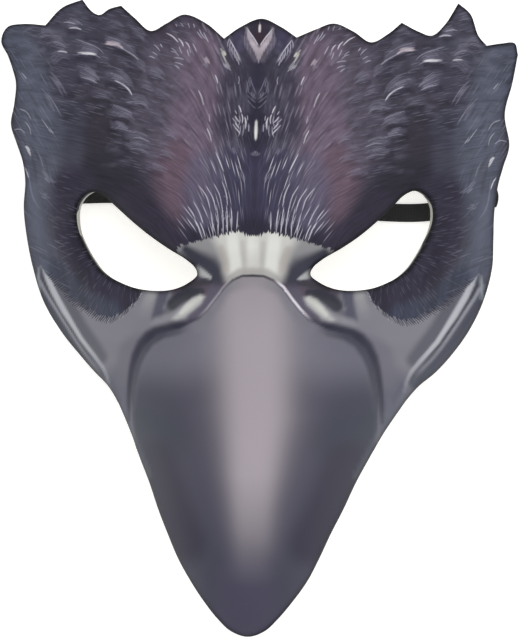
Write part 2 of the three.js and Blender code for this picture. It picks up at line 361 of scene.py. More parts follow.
def makeSheet():
    bm, edge, corners = cutGrid()
    depthLayer = bm.verts.layers.float.new("sheetDepth")
    for v in bm.verts:
        v[depthLayer] = 1
    made = bmesh.ops.extrude_face_region(bm, geom=bm.faces[:], use_keep_orig=True)["geom"]
    front = {g for g in made if isinstance(g, bmesh.types.BMVert)}
    for v in front:
        v[depthLayer] = 0
    across = [e for e in bm.edges if (e.verts[0] in front) != (e.verts[1] in front)]
    bmesh.ops.subdivide_edges(bm, edges=across, cuts=sheet["rimRows"] - 1, use_grid_fill=True)
    corners = {tuple(np.round(c, 3)) for c in corners}
    for turn, reach in enumerate(sheet["finer"]):
        faces = [f for f in bm.faces if not any(v[depthLayer] for v in f.verts)]
        middles = np.array([f.calc_center_median()[:2] for f in faces])
        chosen = nearMarks(*printPlace(middles[:, 0], middles[:, 1]), reach, turn == 2)
        if turn == 0:
            chosen |= np.array([found[2] for found in nearestOn(edge, middles)]) < sheet["edgeBand"]
            chosen |= carved(np.abs(middles[:, 0]), middles[:, 1])
        edges = {e for f, picked in zip(faces, chosen) if picked for e in f.edges}
        bmesh.ops.subdivide_edges(bm, edges=list(edges), cuts=1, use_grid_fill=True)
        if turn == 0:
            rim = [v for v in bm.verts
                if v[depthLayer] == 0 and any(w[depthLayer] for f in v.link_faces for w in f.verts)]
            for v, (place, _, _) in zip(rim, nearestOn(edge, [v.co[:2] for v in rim])):
                if (round(v.co.x, 3), round(v.co.y, 3)) not in corners:
                    v.co = place
    bm.verts.ensure_lookup_table()
    plan = np.array([v.co[:2] for v in bm.verts])
    depth = np.array([v[depthLayer] for v in bm.verts])
    x, y = plan[:, 0], plan[:, 1]
    toEdge = np.array([found[2] for found in nearestOn(edge, plan)])
    e = sheet["slopeStep"]
    slopeX = (backHeight(x + e, y) - backHeight(x - e, y)) / (2 * e)
    slopeY = (backHeight(x, y + e) - backHeight(x, y - e)) / (2 * e)
    normal = np.column_stack([-slopeX, -slopeY, np.ones(len(x))])
    normal /= np.linalg.norm(normal, axis=1)[:, None]
    top = np.column_stack([x, y, frontHeight(x, y)])
    under = np.column_stack([x, y, backHeight(x, y)]) - sheet["thickness"] * normal
    roll = sheet["edgeRoll"] * np.clip(1 - toEdge / sheet["edgeReach"], 0, 1) ** 2
    place = top * (1 - depth)[:, None] + under * depth[:, None] - normal * (roll * (1 - depth) ** 4)[:, None]
    place[:, 2] = np.maximum(place[:, 2], 0)
    for v, p in zip(bm.verts, place):
        v.co = inFrame(*p)
    for f in bm.faces:
        depths = [v[depthLayer] for v in f.verts]
        f.material_index = 0 if max(depths) < 0.01 else 2 if min(depths) > 0.99 else 1
        f.smooth = True
    for edgeOf in bm.edges:
        edgeOf.smooth = len({f.material_index for f in edgeOf.link_faces}) == 1
    bmesh.ops.recalc_face_normals(bm, faces=bm.faces)
    print("sheet made:", sum(len(f.verts) - 2 for f in bm.faces), "triangles")
    return meshObject("mask_sheet", bm), x, y, toEdge


# Which way the printed feathers lie: (across, y, degrees up from level), the same on both sides
flow = {
    "start": 48.0,  # the curve across the feathers starts here on the centre line
    "end": (46, 5),  # and ends at this far across or at this y
    "step": 0.5,  # along that curve
    "reach": 150,  # steps of 1 mm along a feather
    "field": (109, -20, 113),  # far side, and lowest and highest y
    "guide": [
        (2, 95, 88), (2, 60, 88), (2, 30, 88), (9, 92, 68), (9, 71, 80), (9, 50, 74), (9, 36, 72),
        (9, 20, 82), (15, 85, 60), (15, 65, 72), (15, 48, 66), (15, 30, 72), (15, 15, 70), (21, 92, 62),
        (21, 65, 70), (21, 48, 64), (21, 28, 64), (26, 85, 60), (26, 65, 60), (26, 50, 46),
        (26, 36, 46), (26, 20, 50), (32, 92, 48), (32, 77, 38), (32, 65, 44), (32, 54, 38),
        (32, 46, 24), (32, 33, 28), (38, 84, 46), (38, 71, 24), (38, 60, 32), (38, 48, 12),
        (38, 30, 34), (44, 80, 44), (44, 69, 28), (44, 58, 20), (44, 46, 8), (48, 92, 36), (48, 72, 30),
        (50, 60, 10), (50, 48, 8), (54, 88, 16), (54, 76, 28), (54, 62, 10), (54, 50, 14), (60, 92, 15),
        (60, 80, 16), (60, 66, 8), (66, 88, 6), (66, 76, 10), (66, 62, 4), (72, 96, 10), (72, 84, 2),
        (72, 72, 6), (80, 96, 0), (80, 84, -4), (92, 92, 10),
    ],
}


class FeatherFlow:
    def __init__(self):
        side, low, high = flow["field"]
        self.low = np.array([0.0, low])
        self.across, self.up = np.arange(0.0, side), np.arange(float(low), high)
        a, y = np.meshgrid(self.across, self.up)
        guide = np.array(flow["guide"], float)
        near = 1 / ((a[..., None] - guide[:, 0]) ** 2 + (y[..., None] - guide[:, 1]) ** 2 + 9) ** 2
        angle = np.radians(guide[:, 2])
        lie = np.stack([(near * np.cos(angle)).sum(-1), (near * np.sin(angle)).sum(-1)], -1)
        self.lie = lie / np.linalg.norm(lie, axis=-1)[..., None]
        curve = [np.array([0.0, flow["start"]])]
        while curve[-1][0] < flow["end"][0] and curve[-1][1] > flow["end"][1]:
            dx, dy = self.read(self.lie, curve[-1][None])[0]
            curve.append(curve[-1] + flow["step"] * np.array([dy, -dx]))
        self.curve = np.array(curve)
        self.trace(np.column_stack([a.ravel(), y.ravel()]))

    def read(self, grid, place):
        at = np.clip(place - self.low, 0, [len(self.across) - 1.001, len(self.up) - 1.001])
        i, j = at[:, 0].astype(int), at[:, 1].astype(int)
        u, v = (at[:, 0] - i)[:, None], (at[:, 1] - j)[:, None]
        low = grid[j, i] * (1 - u) + grid[j, i + 1] * u
        return low * (1 - v) + (grid[j + 1, i] * (1 - u) + grid[j + 1, i + 1] * u) * v

    def over(self, place):
        return place[:, 1] - np.interp(place[:, 0], self.curve[:, 0], self.curve[:, 1], right=-99)

    def trace(self, place):  # follow the feathers to the curve across them
        side = np.sign(self.over(place))
        live = np.ones(len(place), bool)
        found = np.zeros((len(place), 2))
        for count in range(flow["reach"]):
            ahead = place - self.read(self.lie, place) * side[:, None]
            here, there = self.over(place), self.over(ahead)
            crossed = live & (there * side <= 0)
            part = here / np.where(here == there, 1, here - there)
            hit = place + part[:, None] * (ahead - place)
            found[live, 1] = (side * (count + 1))[live]
            along = np.arange(len(self.curve)) * flow["step"]
            found[crossed, 0] = np.interp(hit[crossed, 0], self.curve[:, 0], along)
            found[crossed, 1] = (side * (count + part))[crossed]
            live &= ~crossed
            place = np.where(live[:, None], ahead, place)
        self.map = found.reshape(len(self.up), len(self.across), 2)


feathers = FeatherFlow()
print("feathers laid out")

# The printed picture, painted in soft strokes, from the ground up; places are (across, y) in mm.
# A stroke has a line with a core and a reach, or it glows out from its line, or it is an area with a soft edge;
# its sizes and strengths are given at the points of its line.
def wash(name, hexColour, core=0, reach=0, line=(), **more):
    return {"name": name, "colour": hexColour, "core": core, "reach": reach, "line": line, **more}


featherPaint = [
    wash("ground", "#454350"),
    wash("outer scallops", "#494855", 10, 24, [(66, 94), (80, 96), (96, 94)]),
    wash("wing", "#45424e", 9, 20, [(50, 90), (52, 74), (52, 62)]),
    wash("mauve", "#685b6b", 7, 18, [(25, 84), (25, 70), (26, 56), (28, 42), (26, 32)]),
    wash("red mauve", "#65525e", 3, 9, [(31, 44), (33, 36), (31, 26), (28, 22)], strength=0.6),
    wash("mauve, outer side", "#56505d", 4, 11, [(38, 82), (38, 68), (42, 56), (42, 48)], strength=0.8),
    wash("mauve, top", "#494350", 4, 11, [(18, 99), (28, 98), (36, 93)], strength=0.75),
    wash("dark of the centre", "#343240", 2, 10, [(0, 100), (0, 60), (0, 20)]),
    wash("beside the centre", "#403c4a", 4, 9, [(11, 97), (9, 78), (9, 66), (11, 56)], strength=0.85),
    wash("root of the fan", "#444257", 5, 12, [(8, 40), (10, 26), (18, 20)], strength=0.8),
    wash("violet root", "#5e5a6e", 3, 9, [(19, 40), (22, 30), (21, 22)], strength=0.75),
    wash("over the eye", "#33313a", 7, 19, [(49, 23), (56, 33), (62, 43), (66, 52)]),
    wash("over the eye, high", "#3b3841", 4, 13, [(60, 52), (65, 62)], strength=0.9),
    wash("brow's shade", "#393542", 3, 8, [(27, 12), (36, 17), (46, 26)], strength=0.85),
    wash("fan's foot", "#33313d", 1, 5, [(0, 17), (10, 16), (22, 13)], strength=0.85),
    wash("inner side band", "#434350", 4, 9, [(72, 58), (72, 42), (74, 24), (73, 8)]),
    wash("side band", "#525563", 5, 12, [(94, 86), (88, 68), (83, 52), (84, 34), (85, 16), (82, 4)]),
    wash("side band's light", "#5e6170", 2, 8, [(87, 74), (86, 60), (87, 46)], strength=0.6),
    wash("side band, low", "#5b5f6d", 2, 7, [(87, 28), (87, 14)], strength=0.6),
    wash("round the eye", "#393643", 5, 12, [(69, 30), (70, 16), (66, 4), (58, -6), (50, -10), (42, -8)]),
    wash("blue of the fringe", "#3d4252", 2, 6, [(54, -14), (62, -12), (70, -6), (76, 0)], strength=0.8),
    wash("red in the V", "#3c323c", 1.4, 3.5, [(0, 95), (0, 91)]),
    wash("beside the V", "#474359", 1.5, 4, [(9.5, 92), (8.5, 87)], strength=0.8),
    wash("pale V", "#bab1ba", 0.3, 1.8, [(5, 95.2), (4, 91.8), (2.5, 89), (0.6, 86.2), (0, 83.6)],
        strength=0.7, sizes=[0.5, 0.8, 1, 1.1, 0.8], strengths=[0.5, 0.8, 1, 1, 0.5]),
    wash("pale V, lower side", "#7c7584", 0.3, 1.6, [(5.4, 91), (4.4, 87.6), (2.6, 84.6), (1.4, 82.4)],
        strength=0.5),
]
barePaint = [
    wash("cheek", "#7d7b84"),
    wash("cheek, low", "#5c5e6c", 4, 13, [(49, -52), (51, -44)], strength=0.9),
    wash("cheek by the groove", "#6d6c77", 1.5, 6, [(42, -21), (47, -28), (49, -38)], strength=0.7),
    wash("under the eye", "#82818a", 3, 8, [(36, -18), (43, -16), (52, -20), (62, -18)], strength=0.8),
    wash("behind the nostril", "#68676f", 1, 4, [(31, -7), (32, -14)]),
    wash("fold", "#595967", 1.2, 3, [(34.4, -6), (34.8, -11), (36, -16)]),
    wash("light of the fold", "#7d7c86", 0.2, 1, [(31.4, -5.6), (32.4, -9), (33.4, -12.4)], strength=0.7),
    wash("light behind it", "#9d9ea0", 0.6, 3.2, [(38.8, -4), (38.9, -8), (41, -14)], strengths=[1, 0.8,
        0.1]),
    wash("inner corner", "#5a525e", 3, 6, [(12, -4), (17, -5), (21, -4.5), (27, -5)]),
    wash("beside the arch", "#605b69", 1.5, 4, [(14.5, -6), (18, -12), (22, -16)]),
    wash("line of the corner", "#454249", 0.5, 1.8, [(17, -2.3), (22, -3.4), (27, -5)]),
    wash("nostril", "#3c3c46", 1.4, 3.1, [(20.4, -6.1), (24.6, -6.8), (28, -8.7), (30.4, -10.9)],
        sizes=[0.6, 0.9, 1.1, 1]),
    wash("lobe's tail", "#908f96", 0.8, 3, [(27, -14.6), (31, -16.2), (36, -17.6)], strength=0.8),
    wash("lobe", "#b4b4b4", area=[(18.6, -8), (20.7, -7.4), (23.2, -8.5), (25.6, -11), (28, -13.8),
        (30.4, -16.4), (28.4, -16.7), (25.4, -15.2), (22.6, -12.9), (20, -10.6)], soft=0.9),
    wash("lobe's light", "#cacac6", 0.4, 1.7, [(20.4, -8.4), (22.8, -9.8), (25, -12), (27, -14.2)],
        strength=0.9, sizes=[0.8, 1, 1, 0.6]),
    wash("brow patch, sides", "#8f8f92", 2.4, 6, [(13, 9.5), (18, 10.2), (23, 10.4), (29, 9.8)], sizes=[1.1,
        1, 0.8, 0.5]),
    wash("wedge of shade", "#40414c", 1.4, 6.6, [(26, 8.6), (21.4, 5), (17.6, 2.6), (14.4, 0)], sizes=[0.4,
        0.8, 1, 0.9]),
    wash("brow patch", "#c6c5c1", area=[(-3, 22), (17, 22), (15.6, 12.4), (13.6, 9), (12.4, 6.6), (11.7, 4),
        (11.4, 1), (10.4, -1.4), (8.4, -2.6), (5, -0.8), (-3, -0.2)], soft=2.7),
    wash("brow patch, light", "#dfe0dc", 1.1, 3.4, [(8, 15), (7.6, 10), (6.6, 5), (6.3, 1.6)],
        strength=0.95, strengths=[0.6, 1, 1, 0.6]),
    wash("brow patch, middle", "#e0e0dc", 0.5, 2.4, [(0.4, 14), (0.5, 11), (0.6, 7), (0.6, 2)],
        strength=0.8, strengths=[0.7, 1, 0.6, 0]),
    wash("brow patch, crease", "#b4b1ad", 0.2, 1.6, [(3.8, 12), (3.2, 2)], strength=0.6),
    wash("brow patch, tan", "#a89f9a", 0.6, 2, [(12.6, 9.6), (11, 5), (10.6, 2)], strength=0.5),
    wash("brow patch, foot", "#a3a09e", 0.6, 2.4, [(0, 1.6), (5, 1.2), (9, -1.4)], strength=0.75),
    wash("eye's corner", "#a9aaac", 0.6, 1.9, [(22, 1.4), (19.6, 0.2), (17, -1)], sizes=[1.2, 1, 0.5]),
    wash("groove at the beak", "#3d3d4a", 1, 3.4, [(20.5, -16.6), (25, -18.8), (30, -19.9), (36, -21.3),
        (39, -22.8), (41.6, -25.8), (43.8, -30), (45, -34.4), (46, -40), (46.8, -47.6), (47.2, -54)],
        sizes=[0.6, 1, 1.2, 1.1, 1, 0.95, 0.85, 0.75, 0.6, 0.45, 0.35], strengths=[0.6, 1, 1, 1, 1, 0.95,
        0.95, 0.9, 0.9, 0.85, 0.6]),
    wash("gape's shade", "#575863", 1.2, 4.4, [(79, 0), (75.6, -6.6), (71.4, -13), (67.6, -19.4),
        (63.4, -25), (59, -31)], strength=0.85),
    wash("gape's edge", "#474956", 2.2, 4.2, [(89.6, 9), (88.6, 2), (86.6, -5), (83, -12), (77.6, -19.6),
        (71.6, -27), (65, -34), (60, -39)], strength=0.95),
    wash("gape's rim", "#8f979f", 0.3, 1, [(83.6, 1.6), (84.9, -2.8), (84.8, -8)], strength=0.9,
        strengths=[0.4, 1, 1]),
    wash("gape's outer light", "#8c8d97", 0.5, 1.5, [(83.7, -4.4), (80, -10.1), (75.9, -16.2),
        (71.8, -22.3), (69, -26.3), (65.7, -30.3), (62.1, -33.9), (58.9, -37.4)], strengths=[0.9, 1, 0.95,
        0.8, 0.65, 0.55, 0.5, 0]),
    wash("gape's dark line", "#3f414c", 0.4, 1.1, [(83.4, 1.2), (83, -2.8), (80.9, -6.9), (77.6, -11.8),
        (74.7, -16.4), (71.2, -21.4), (68.7, -25), (65.8, -28.7), (62.9, -31.9), (59.7, -35)],
        strengths=[0.5, 1, 1, 1, 1, 1, 0.9, 0.8, 0.6, 0.2]),
    wash("gape's light line", "#b9bac1", 0.5, 1.7, [(82.8, 2.6), (80.9, -2), (78.1, -7.7), (74.3, -14.2),
        (70.5, -20), (67.6, -24.4), (64.7, -27.7), (61.5, -31.2), (58, -35.2), (56.1, -38.9),
        (55.1, -42.9)], sizes=[0.5, 0.9, 1.1, 1.1, 0.85, 0.8, 0.75, 0.75, 0.7, 0.65, 0.6], strengths=[0.7,
        0.9, 1, 1, 1, 0.95, 0.9, 0.75, 0.5, 0.3, 0.1]),
]
beakPaint = [
    wash("beak", "#484856"),
    wash("middle sides", "#3f424f", 3, 15, [(33, -58), (44, -56)]),
    wash("upper sides", "#6b6b77", 4, 22, [(17, -19), (28, -25), (40, -26)], sizes=[1.2, 1, 0.9]),
    wash("low sides", "#3a3947", 4, 12, [(35, -68), (29, -82), (23, -94)]),
    wash("tip", "#4e4c5c", 7, 14, [(0, -108), (0, -118)]),
    wash("edge's light", "#5b5e69", 0.4, 2, [(48, -54), (43, -64), (38, -73)], strength=0.6),
    wash("under the groove", "#3d3f4c", 1, 3.2, [(24, -18.6), (28, -20.4), (34, -21.6), (38.6, -24.4),
        (41.6, -28.6), (43.4, -33), (45.2, -42), (46, -52)], strength=0.9, sizes=[0.6, 0.8, 0.9, 1, 1, 0.9,
        0.6, 0.5], strengths=[0, 0.6, 1, 1, 1, 1, 1, 1]),
    wash("light of the ridge", "#a79fa5", line=[(0.5, -6), (1.2, -20), (2, -31), (3.1, -50), (2.9, -60),
        (2.7, -70), (2.7, -80), (3, -90), (3, -99), (3, -108)], glow=1, oneSided=True, sizes=[14, 13, 13.2,
        12.2, 10.6, 9.3, 8, 7.3, 7, 6], strengths=[0.82, 0.92, 0.93, 0.95, 0.97, 0.95, 0.74, 0.48, 0.18,
        0]),
    wash("under the arch", "#7b7982", 0.6, 4, [(7, -2.6), (11, -5.4), (14.6, -11), (18.4, -15.6),
        (21, -18.4)], strength=0.8),
    wash("top of the arch", "#8b888d", 1.5, 5, [(0, 0), (6, -2)], strength=0.7),
]
# Painted shade and painted highlight: a dark line along the step at the top of the beak, and a light line on its
# lip, bright on the right side where the light falls
archShadeAndGlint = {  # the line round the top of the beak, bright on the right side
    "line": [(0, 0.4), (4, 0.2), (7.6, -1.3), (11.2, -4.2), (14.2, -8.2), (17.6, -12.4), (22.4, -17)],
    # colour is the painted shade line, light the painted highlight
    "colour": "#3a3840", "light": "#dcd6e0", "half": 0.32, "soft": 0.75, "right": 1.0, "left": 0.28,
    "shift": 0.3, "lightShift": -0.15,  # of the dark line and of the bright one, towards the beak
    "sides": (-2, 6),  # from the left side's brightness to the right side's
    "thinning": 0.75, "end": (0.9, 1),  # shares of its length from here on
    "lightFrom": (0.24, 0.4), "lightTo": (0.72, 1),
}

# Where the bare skin ends and the feathers begin
featherLine = [(0, 14.8), (2.5, 15), (5.3, 16.1), (8, 15.5), (13, 14.1), (17, 13.2), (21, 12), (25, 10.9),
    (28.5, 9.8), (33, 2), (40.6, -4.5), (42.4, -7.4), (44.6, -10.8), (47.5, -13.8), (50.5, -16),
    (54, -17.3), (57, -17.4), (60, -16.5), (63, -15), (66, -13.4), (70, -10.9), (73, -8.6), (76, -6),
    (80, -1.8), (83.4, 2.6), (86, 0), (92, -8)]

# Single strokes, drawn as a few fine hairs side by side: name, colour, width, strength, hairs, spread, lines
wispPaint = [
    ("white feathers", "#dedde2", 0.65, 0.95, 2, 0.4, [
        [(0, 99.4), (0, 96.5), (0, 93.4)], [(60, 81), (63.3, 82.6), (66.6, 82.9), (70.4, 82.8)],
        [(86.6, 42.5), (88.2, 44.8), (89.8, 46.8)]]),
    ("spot", "#dcdcda", 1.25, 0.95, 1, 0, [
        [(0, 59), (0, 56), (0, 50.4)]]),
    ("cream feather", "#d0d0c6", 0.8, 0.9, 3, 1.0, [
        [(16.2, 87.2), (14.6, 84.8), (12.8, 81.2)]]),
    ("cream feather's tail", "#b5b3bb", 0.6, 0.8, 4, 1.6, [
        [(15.2, 83), (13.4, 80.4), (10.8, 76.8)]]),
    ("long feather", "#cdc9d4", 0.5, 0.9, 1, 0, [
        [(12.7, 91), (10.7, 88.1), (8.8, 84.9), (7, 81.2)],
        [(5.1, 95.4), (3.6, 93.3), (2.2, 91.4), (1, 89.5), (0.1, 88)]]),
    ("its hairs", "#a5a1b0", 0.5, 0.8, 1, 0, [
        [(12.4, 90.6), (12.9, 88.8), (12.8, 87)], [(11.8, 89.8), (12, 87.4), (11.6, 85)],
        [(10.9, 88.4), (11, 86), (10.5, 83.8)], [(10, 87), (10, 84.8), (9.4, 82.6)],
        [(9.2, 85.6), (9.1, 83.4), (8.5, 81.4)], [(8.3, 84), (8.2, 82), (7.6, 80)]]),
    ("hairs of the V", "#b8adb8", 0.6, 0.62, 1, 0, [
        [(4.6, 94.6), (4.4, 92.4), (4.2, 90)], [(3.9, 93.8), (3.6, 91.4), (3.3, 88.4)],
        [(3.2, 92.8), (2.9, 90.2), (2.6, 86.8)], [(2.5, 91.8), (2.2, 88.8), (1.9, 85.4)],
        [(1.8, 90.8), (1.5, 87.6), (1.2, 83.8)], [(1.1, 89.7), (0.8, 86.4), (0.6, 82.4)],
        [(0.4, 88.6), (0.2, 85), (0.1, 80.8)]]),
    ("fine white strokes", "#cbc7d2", 0.5, 0.9, 1, 0, [
        [(23.7, 69.7), (22.2, 66.6), (21.3, 63.3)], [(19.9, 54.9), (18.6, 52.2), (17.7, 49.2)],
        [(17.6, 76), (16.8, 74.2), (16.2, 72.2)], [(7.2, 64.2), (6.4, 62.8), (5.8, 61)],
        [(5.8, 61), (5.2, 59.2), (5.4, 56.8)], [(4.5, 59.9), (3.9, 57.6), (4.1, 54.7)],
        [(8.5, 60), (7.6, 58.6), (6.4, 57.4)], [(8.4, 57.4), (7.4, 56.2), (6.4, 54.8)],
        [(8.4, 55.3), (7, 54.2), (6, 52.7)], [(16.2, 46), (14.2, 42), (12.3, 37.8)],
        [(86.9, 42), (88.4, 44.2), (89.2, 46.4)], [(88, 33.5), (89, 36.4), (90.4, 38.8)],
        [(47.8, 66.1), (49, 68.4), (51.4, 70.6), (55.3, 72.6)], [(68.1, 92.2), (70.9, 92.9), (73.5, 92.6)],
        [(73.3, 83), (75.4, 83.4), (77.5, 83.4)], [(27.4, 86.1), (28.2, 87.6), (29.3, 88.8)],
        [(29.8, 86.6), (30.6, 88.6), (32.1, 90.1)], [(31.6, 88.1), (34, 90.6), (36.8, 92.1)]]),
    ("hairs over the brow patch", "#cdc9d6", 0.42, 0.85, 1, 0, [
        [(8.9, 25), (8.5, 20), (8.4, 15)], [(11, 26), (10.3, 20), (10.1, 14.6)],
        [(13, 26.4), (12.1, 20), (11.8, 14)], [(15.2, 26), (14.1, 19.6), (13.9, 13.6)],
        [(17.6, 24), (16.4, 19), (15.8, 13.4)], [(22.6, 19.6), (21.2, 16), (19.8, 12.4)],
        [(21.2, 19), (19.8, 16), (18.8, 13)], [(6.2, 24), (6.2, 20), (6.4, 16.4)],
        [(24.2, 27), (21.6, 22.6), (19.8, 18)], [(26, 25), (23.4, 21), (22, 17)],
        [(19.6, 33), (16.6, 28), (15, 22.6)], [(22.4, 33), (19, 28.4), (17.4, 23)],
        [(16.6, 34), (14, 29.4), (12.6, 24)], [(13.2, 35), (11.2, 30), (10.4, 25)]]),
    ("thin pale strokes", "#aeacbb", 0.42, 0.75, 1, 0, [
        [(2.9, 57.3), (2.7, 55.4), (2.8, 53.7)], [(8.6, 62.1), (7.6, 60.5)],
        [(9.6, 59.2), (8.6, 58), (7.4, 57.2)], [(9.4, 56.8), (8.2, 55.4), (7.2, 54.4)],
        [(6.6, 60.4), (6.3, 58), (6.9, 55.6)], [(6, 56.4), (6.1, 54), (6.8, 51.6)],
        [(4.9, 57), (4.7, 54.6), (5.1, 52)], [(3.4, 60.4), (3.2, 58.2)],
        [(26.6, 88.4), (25.6, 86.4), (24.8, 84.6)], [(27.5, 82.6), (28.1, 84.2), (28.4, 85.8)],
        [(27, 84.1), (27.4, 85.4), (27.9, 86.8)], [(30.3, 83.6), (30.9, 85.2), (31.6, 86.8)],
        [(32.2, 84.1), (33.2, 85.2), (34.5, 86.1)], [(31.2, 82.6), (32.6, 84.1), (34.6, 84.8)],
        [(29.4, 79.1), (31.2, 79.9), (33.1, 80.3)], [(30.8, 77.6), (31.9, 78.6), (32.9, 79.2)],
        [(29.2, 81.4), (31, 82), (33.4, 82.1)], [(38.3, 84.2), (39.4, 85.8), (41.1, 87.2)],
        [(39.2, 82.7), (40.4, 83.6), (41.6, 84.2)], [(37.6, 86), (38.6, 87.6)],
        [(40.2, 81.4), (41.4, 82.2), (42.6, 82.4)], [(27.8, 94.1), (28.2, 95.2), (28.7, 96.4)],
        [(30.1, 94.6), (30.8, 95.6), (31.5, 96.4)], [(32.5, 94.6), (33.2, 95.8)],
        [(26, 94.4), (26.6, 96.2)], [(24.4, 94.2), (23.4, 92), (21.6, 89.8)],
        [(25.2, 93.2), (24, 91.4), (22.8, 90)], [(22.8, 93), (21.6, 90.6), (20.6, 88.6)],
        [(89, 72.2), (90.2, 73.6), (91.4, 74.9)], [(87.1, 56.3), (89, 59.3), (92.4, 60.9)],
        [(87.1, 50.1), (88, 53.5), (90, 56)], [(89.5, 51.2), (91.9, 52.8), (94.9, 52.4)],
        [(78.9, 51.2), (81.3, 54.6), (83.2, 57.1)], [(77.9, 50.7), (79.8, 53.4)],
        [(70.4, 94.2), (73.3, 95), (75.7, 94.8)], [(19.2, 60.4), (18.7, 57)],
        [(7.7, 75.9), (7.3, 74.2), (7.6, 72.4)], [(46, 80.4), (48, 82.4), (50.4, 83.9), (53.6, 85.6)]]),
    ("soft violet feathers", "#8b889b", 0.55, 0.6, 3, 1.4, [
        [(11, 51), (9.4, 47.6), (7.8, 44.8), (6.6, 42)], [(1, 46.8), (0.3, 44.4)],
        [(3.4, 33), (4.2, 35.6), (6.4, 39.6), (8.6, 41)], [(72.7, 63.9), (77.5, 71.8), (82.8, 76.8)],
        [(75.1, 56.8), (79.9, 64.2), (84.7, 69.2)], [(75, 30.6), (79.8, 33.6), (83.2, 38)],
        [(78.3, 26), (81.7, 27.1), (84.1, 29.5)], [(22.6, 81.6), (20.8, 78.4)]]),
    ("pink feathers", "#bfb3bb", 0.9, 0.85, 2, 0.8, [
        [(50.6, 84.4), (54.2, 86.8), (57.4, 87.1), (60.4, 87.4)], [(22.6, 84), (21.3, 81.8), (20.1, 79.8)]]),
    ("leaves and chevrons", "#7f7c92", 0.42, 0.58, 1, 0, [
        [(3, 75.9), (2.2, 73.1), (1.3, 70.8), (0.2, 68.6)], [(3, 75.9), (3.7, 73.1), (4, 70.4), (4, 68.6)],
        [(3, 74.4), (2.8, 71.4)], [(3.4, 72.6), (3.3, 69.6)], [(3.9, 70.1), (2, 68.2), (0.2, 66.8)],
        [(3.8, 68.3), (2, 66.6), (0.3, 65.2)], [(3, 65.6), (1.6, 64), (0.2, 63)], [(2.4, 69.6), (2, 68.4)],
        [(1.3, 69), (1.1, 67.8)], [(3.6, 66.4), (2.4, 64.8)],
        [(5.2, 95.2), (5.7, 92.6), (5.8, 89.6), (5.4, 87)], [(4.6, 89.4), (4.4, 86)],
        [(3.4, 87.6), (3.2, 84.4)]]),
]

wispLoose = 0.4  # the share of a hair's length and strength that is left to chance, where it isn't alone

# Hairs over the border below the eye, pale and dark in turn
fringe = {
    "seed": 3,
    "gap": 0.42,  # from hair to hair along the border
    "inner": 2.8,
    "innerShare": (0.5, 1),
    "outer": 1.7,
    "outerShare": (0.3, 1),
    "sway": 7,  # degrees
    "width": 0.5,
    "pale": "#b6b5bd",
    "dark": "#33333f",
    "turn": [(40, -62), (54, -60), (62, -42), (72, -28)],  # across, degrees up from level
    "paleness": [(40, 0.9), (50, 0.75), (58, 0.5), (64, 0.3), (72, 0.12)],
    "paleShare": (0.4, 1),
    "darkness": 0.9,
    "across": (40, 81),
}

# Tufts of the wings: hairs side by side above a line from root to tip
tufts = {
    "seed": 5,
    "width": 0.45,
    "gap": 0.8,  # from hair to hair
    "spread": 1.3,  # and how many times that for the hairs' own lines
    "first": 0.3,  # the first hair lies this part of a gap below the line
    "loose": 0.3,
    "start": (0, 0.4),  # shares of the line
    "end": (0.65, 1),
    "light": (0.3, 1.1),
    "firstLight": 1.35,
    "fan": 0.7,  # how much the hairs spread from root to tip
    "body": "#5d5a6b",
    "hair": "#9a98a9",
    "shade": "#2f2d37",
    "shadeWidth": 3,
    "shadeOffset": -1.6,
    "shadeStart": 0.1,
    "bodyStart": 0.2,
    "bodyOffset": 0.45,  # of the tuft's height
    "bodyWidth": 0.8,  # of the tuft's height, and a mm more
    "under": 1.1,  # how strong the shade and the body are
    "lines": [  # line, hairs, strength
        ([(45.8, 80.3), (50.1, 83.8), (54, 85.9), (60.4, 87.2)], 5, 0.5),
        ([(60, 81), (63.3, 82.6), (66.6, 82.9), (71, 82.8)], 6, 0.6),
        ([(73.3, 83), (75.6, 83.6), (78.4, 83.2)], 3, 0.35),
        ([(68.1, 92.2), (70.9, 92.9), (74.6, 92.6)], 5, 0.5),
        ([(35.6, 72.4), (38.4, 74.6), (42.8, 75.6)], 4, 0.5),
        ([(47.8, 66.4), (50.6, 70), (55.3, 72.6), (59.4, 72.7)], 6, 0.55),
        ([(60.9, 70.8), (63.7, 72.3), (69.5, 73.9)], 6, 0.55),
        ([(41.3, 61.2), (43.8, 63.4), (50.4, 62.9)], 5, 0.42),
        ([(46.4, 55.6), (49.7, 57.8), (56.6, 58.5)], 5, 0.5),
        ([(46.9, 52.2), (51.5, 53.6), (56.6, 54.4)], 3, 0.45),
        ([(53.9, 63.6), (57.1, 65.2), (64.8, 66.2)], 4, 0.3),
        ([(40, 48.2), (44.6, 50), (50.4, 49.4)], 4, 0.42), ([(40, 44.2), (44.6, 45.8), (50.4, 46)], 4, 0.4),
        ([(33.2, 36.8), (37.7, 38.3), (42, 37.8)], 3, 0.4),
        ([(71.8, 80.3), (75.2, 81.4), (79, 78.4)], 4, 0.3), ([(73.6, 85), (78, 87), (82.8, 85)], 4, 0.4),
        ([(77.4, 88.8), (81.9, 89.4), (86, 86.6)], 4, 0.34), ([(82, 92), (87, 92.6), (91.6, 90)], 4, 0.24),
        ([(34, 65), (37, 67), (41.4, 67.6)], 4, 0.26), ([(34.4, 55), (37.4, 57), (42, 57.6)], 4, 0.26),
        ([(30, 49.6), (33, 51.6), (37, 52)], 4, 0.26), ([(31, 42.4), (34.4, 43.8), (38, 43.8)], 3, 0.26),
        ([(40, 68.4), (43, 70), (47, 70)], 4, 0.24), ([(52, 92), (55.4, 93.4), (59.4, 93)], 4, 0.26),
        ([(44, 88), (46.6, 90.4), (50, 91.4)], 4, 0.24), ([(60.6, 96.4), (64, 98.2), (67.6, 98)], 4, 0.3),
        ([(75.6, 98.6), (79, 99.6), (82, 98)], 4, 0.24), ([(56, 78), (59, 79.6), (62.6, 79.8)], 4, 0.2),
        ([(43, 75.6), (46, 78), (50, 79)], 4, 0.28),
    ],
}

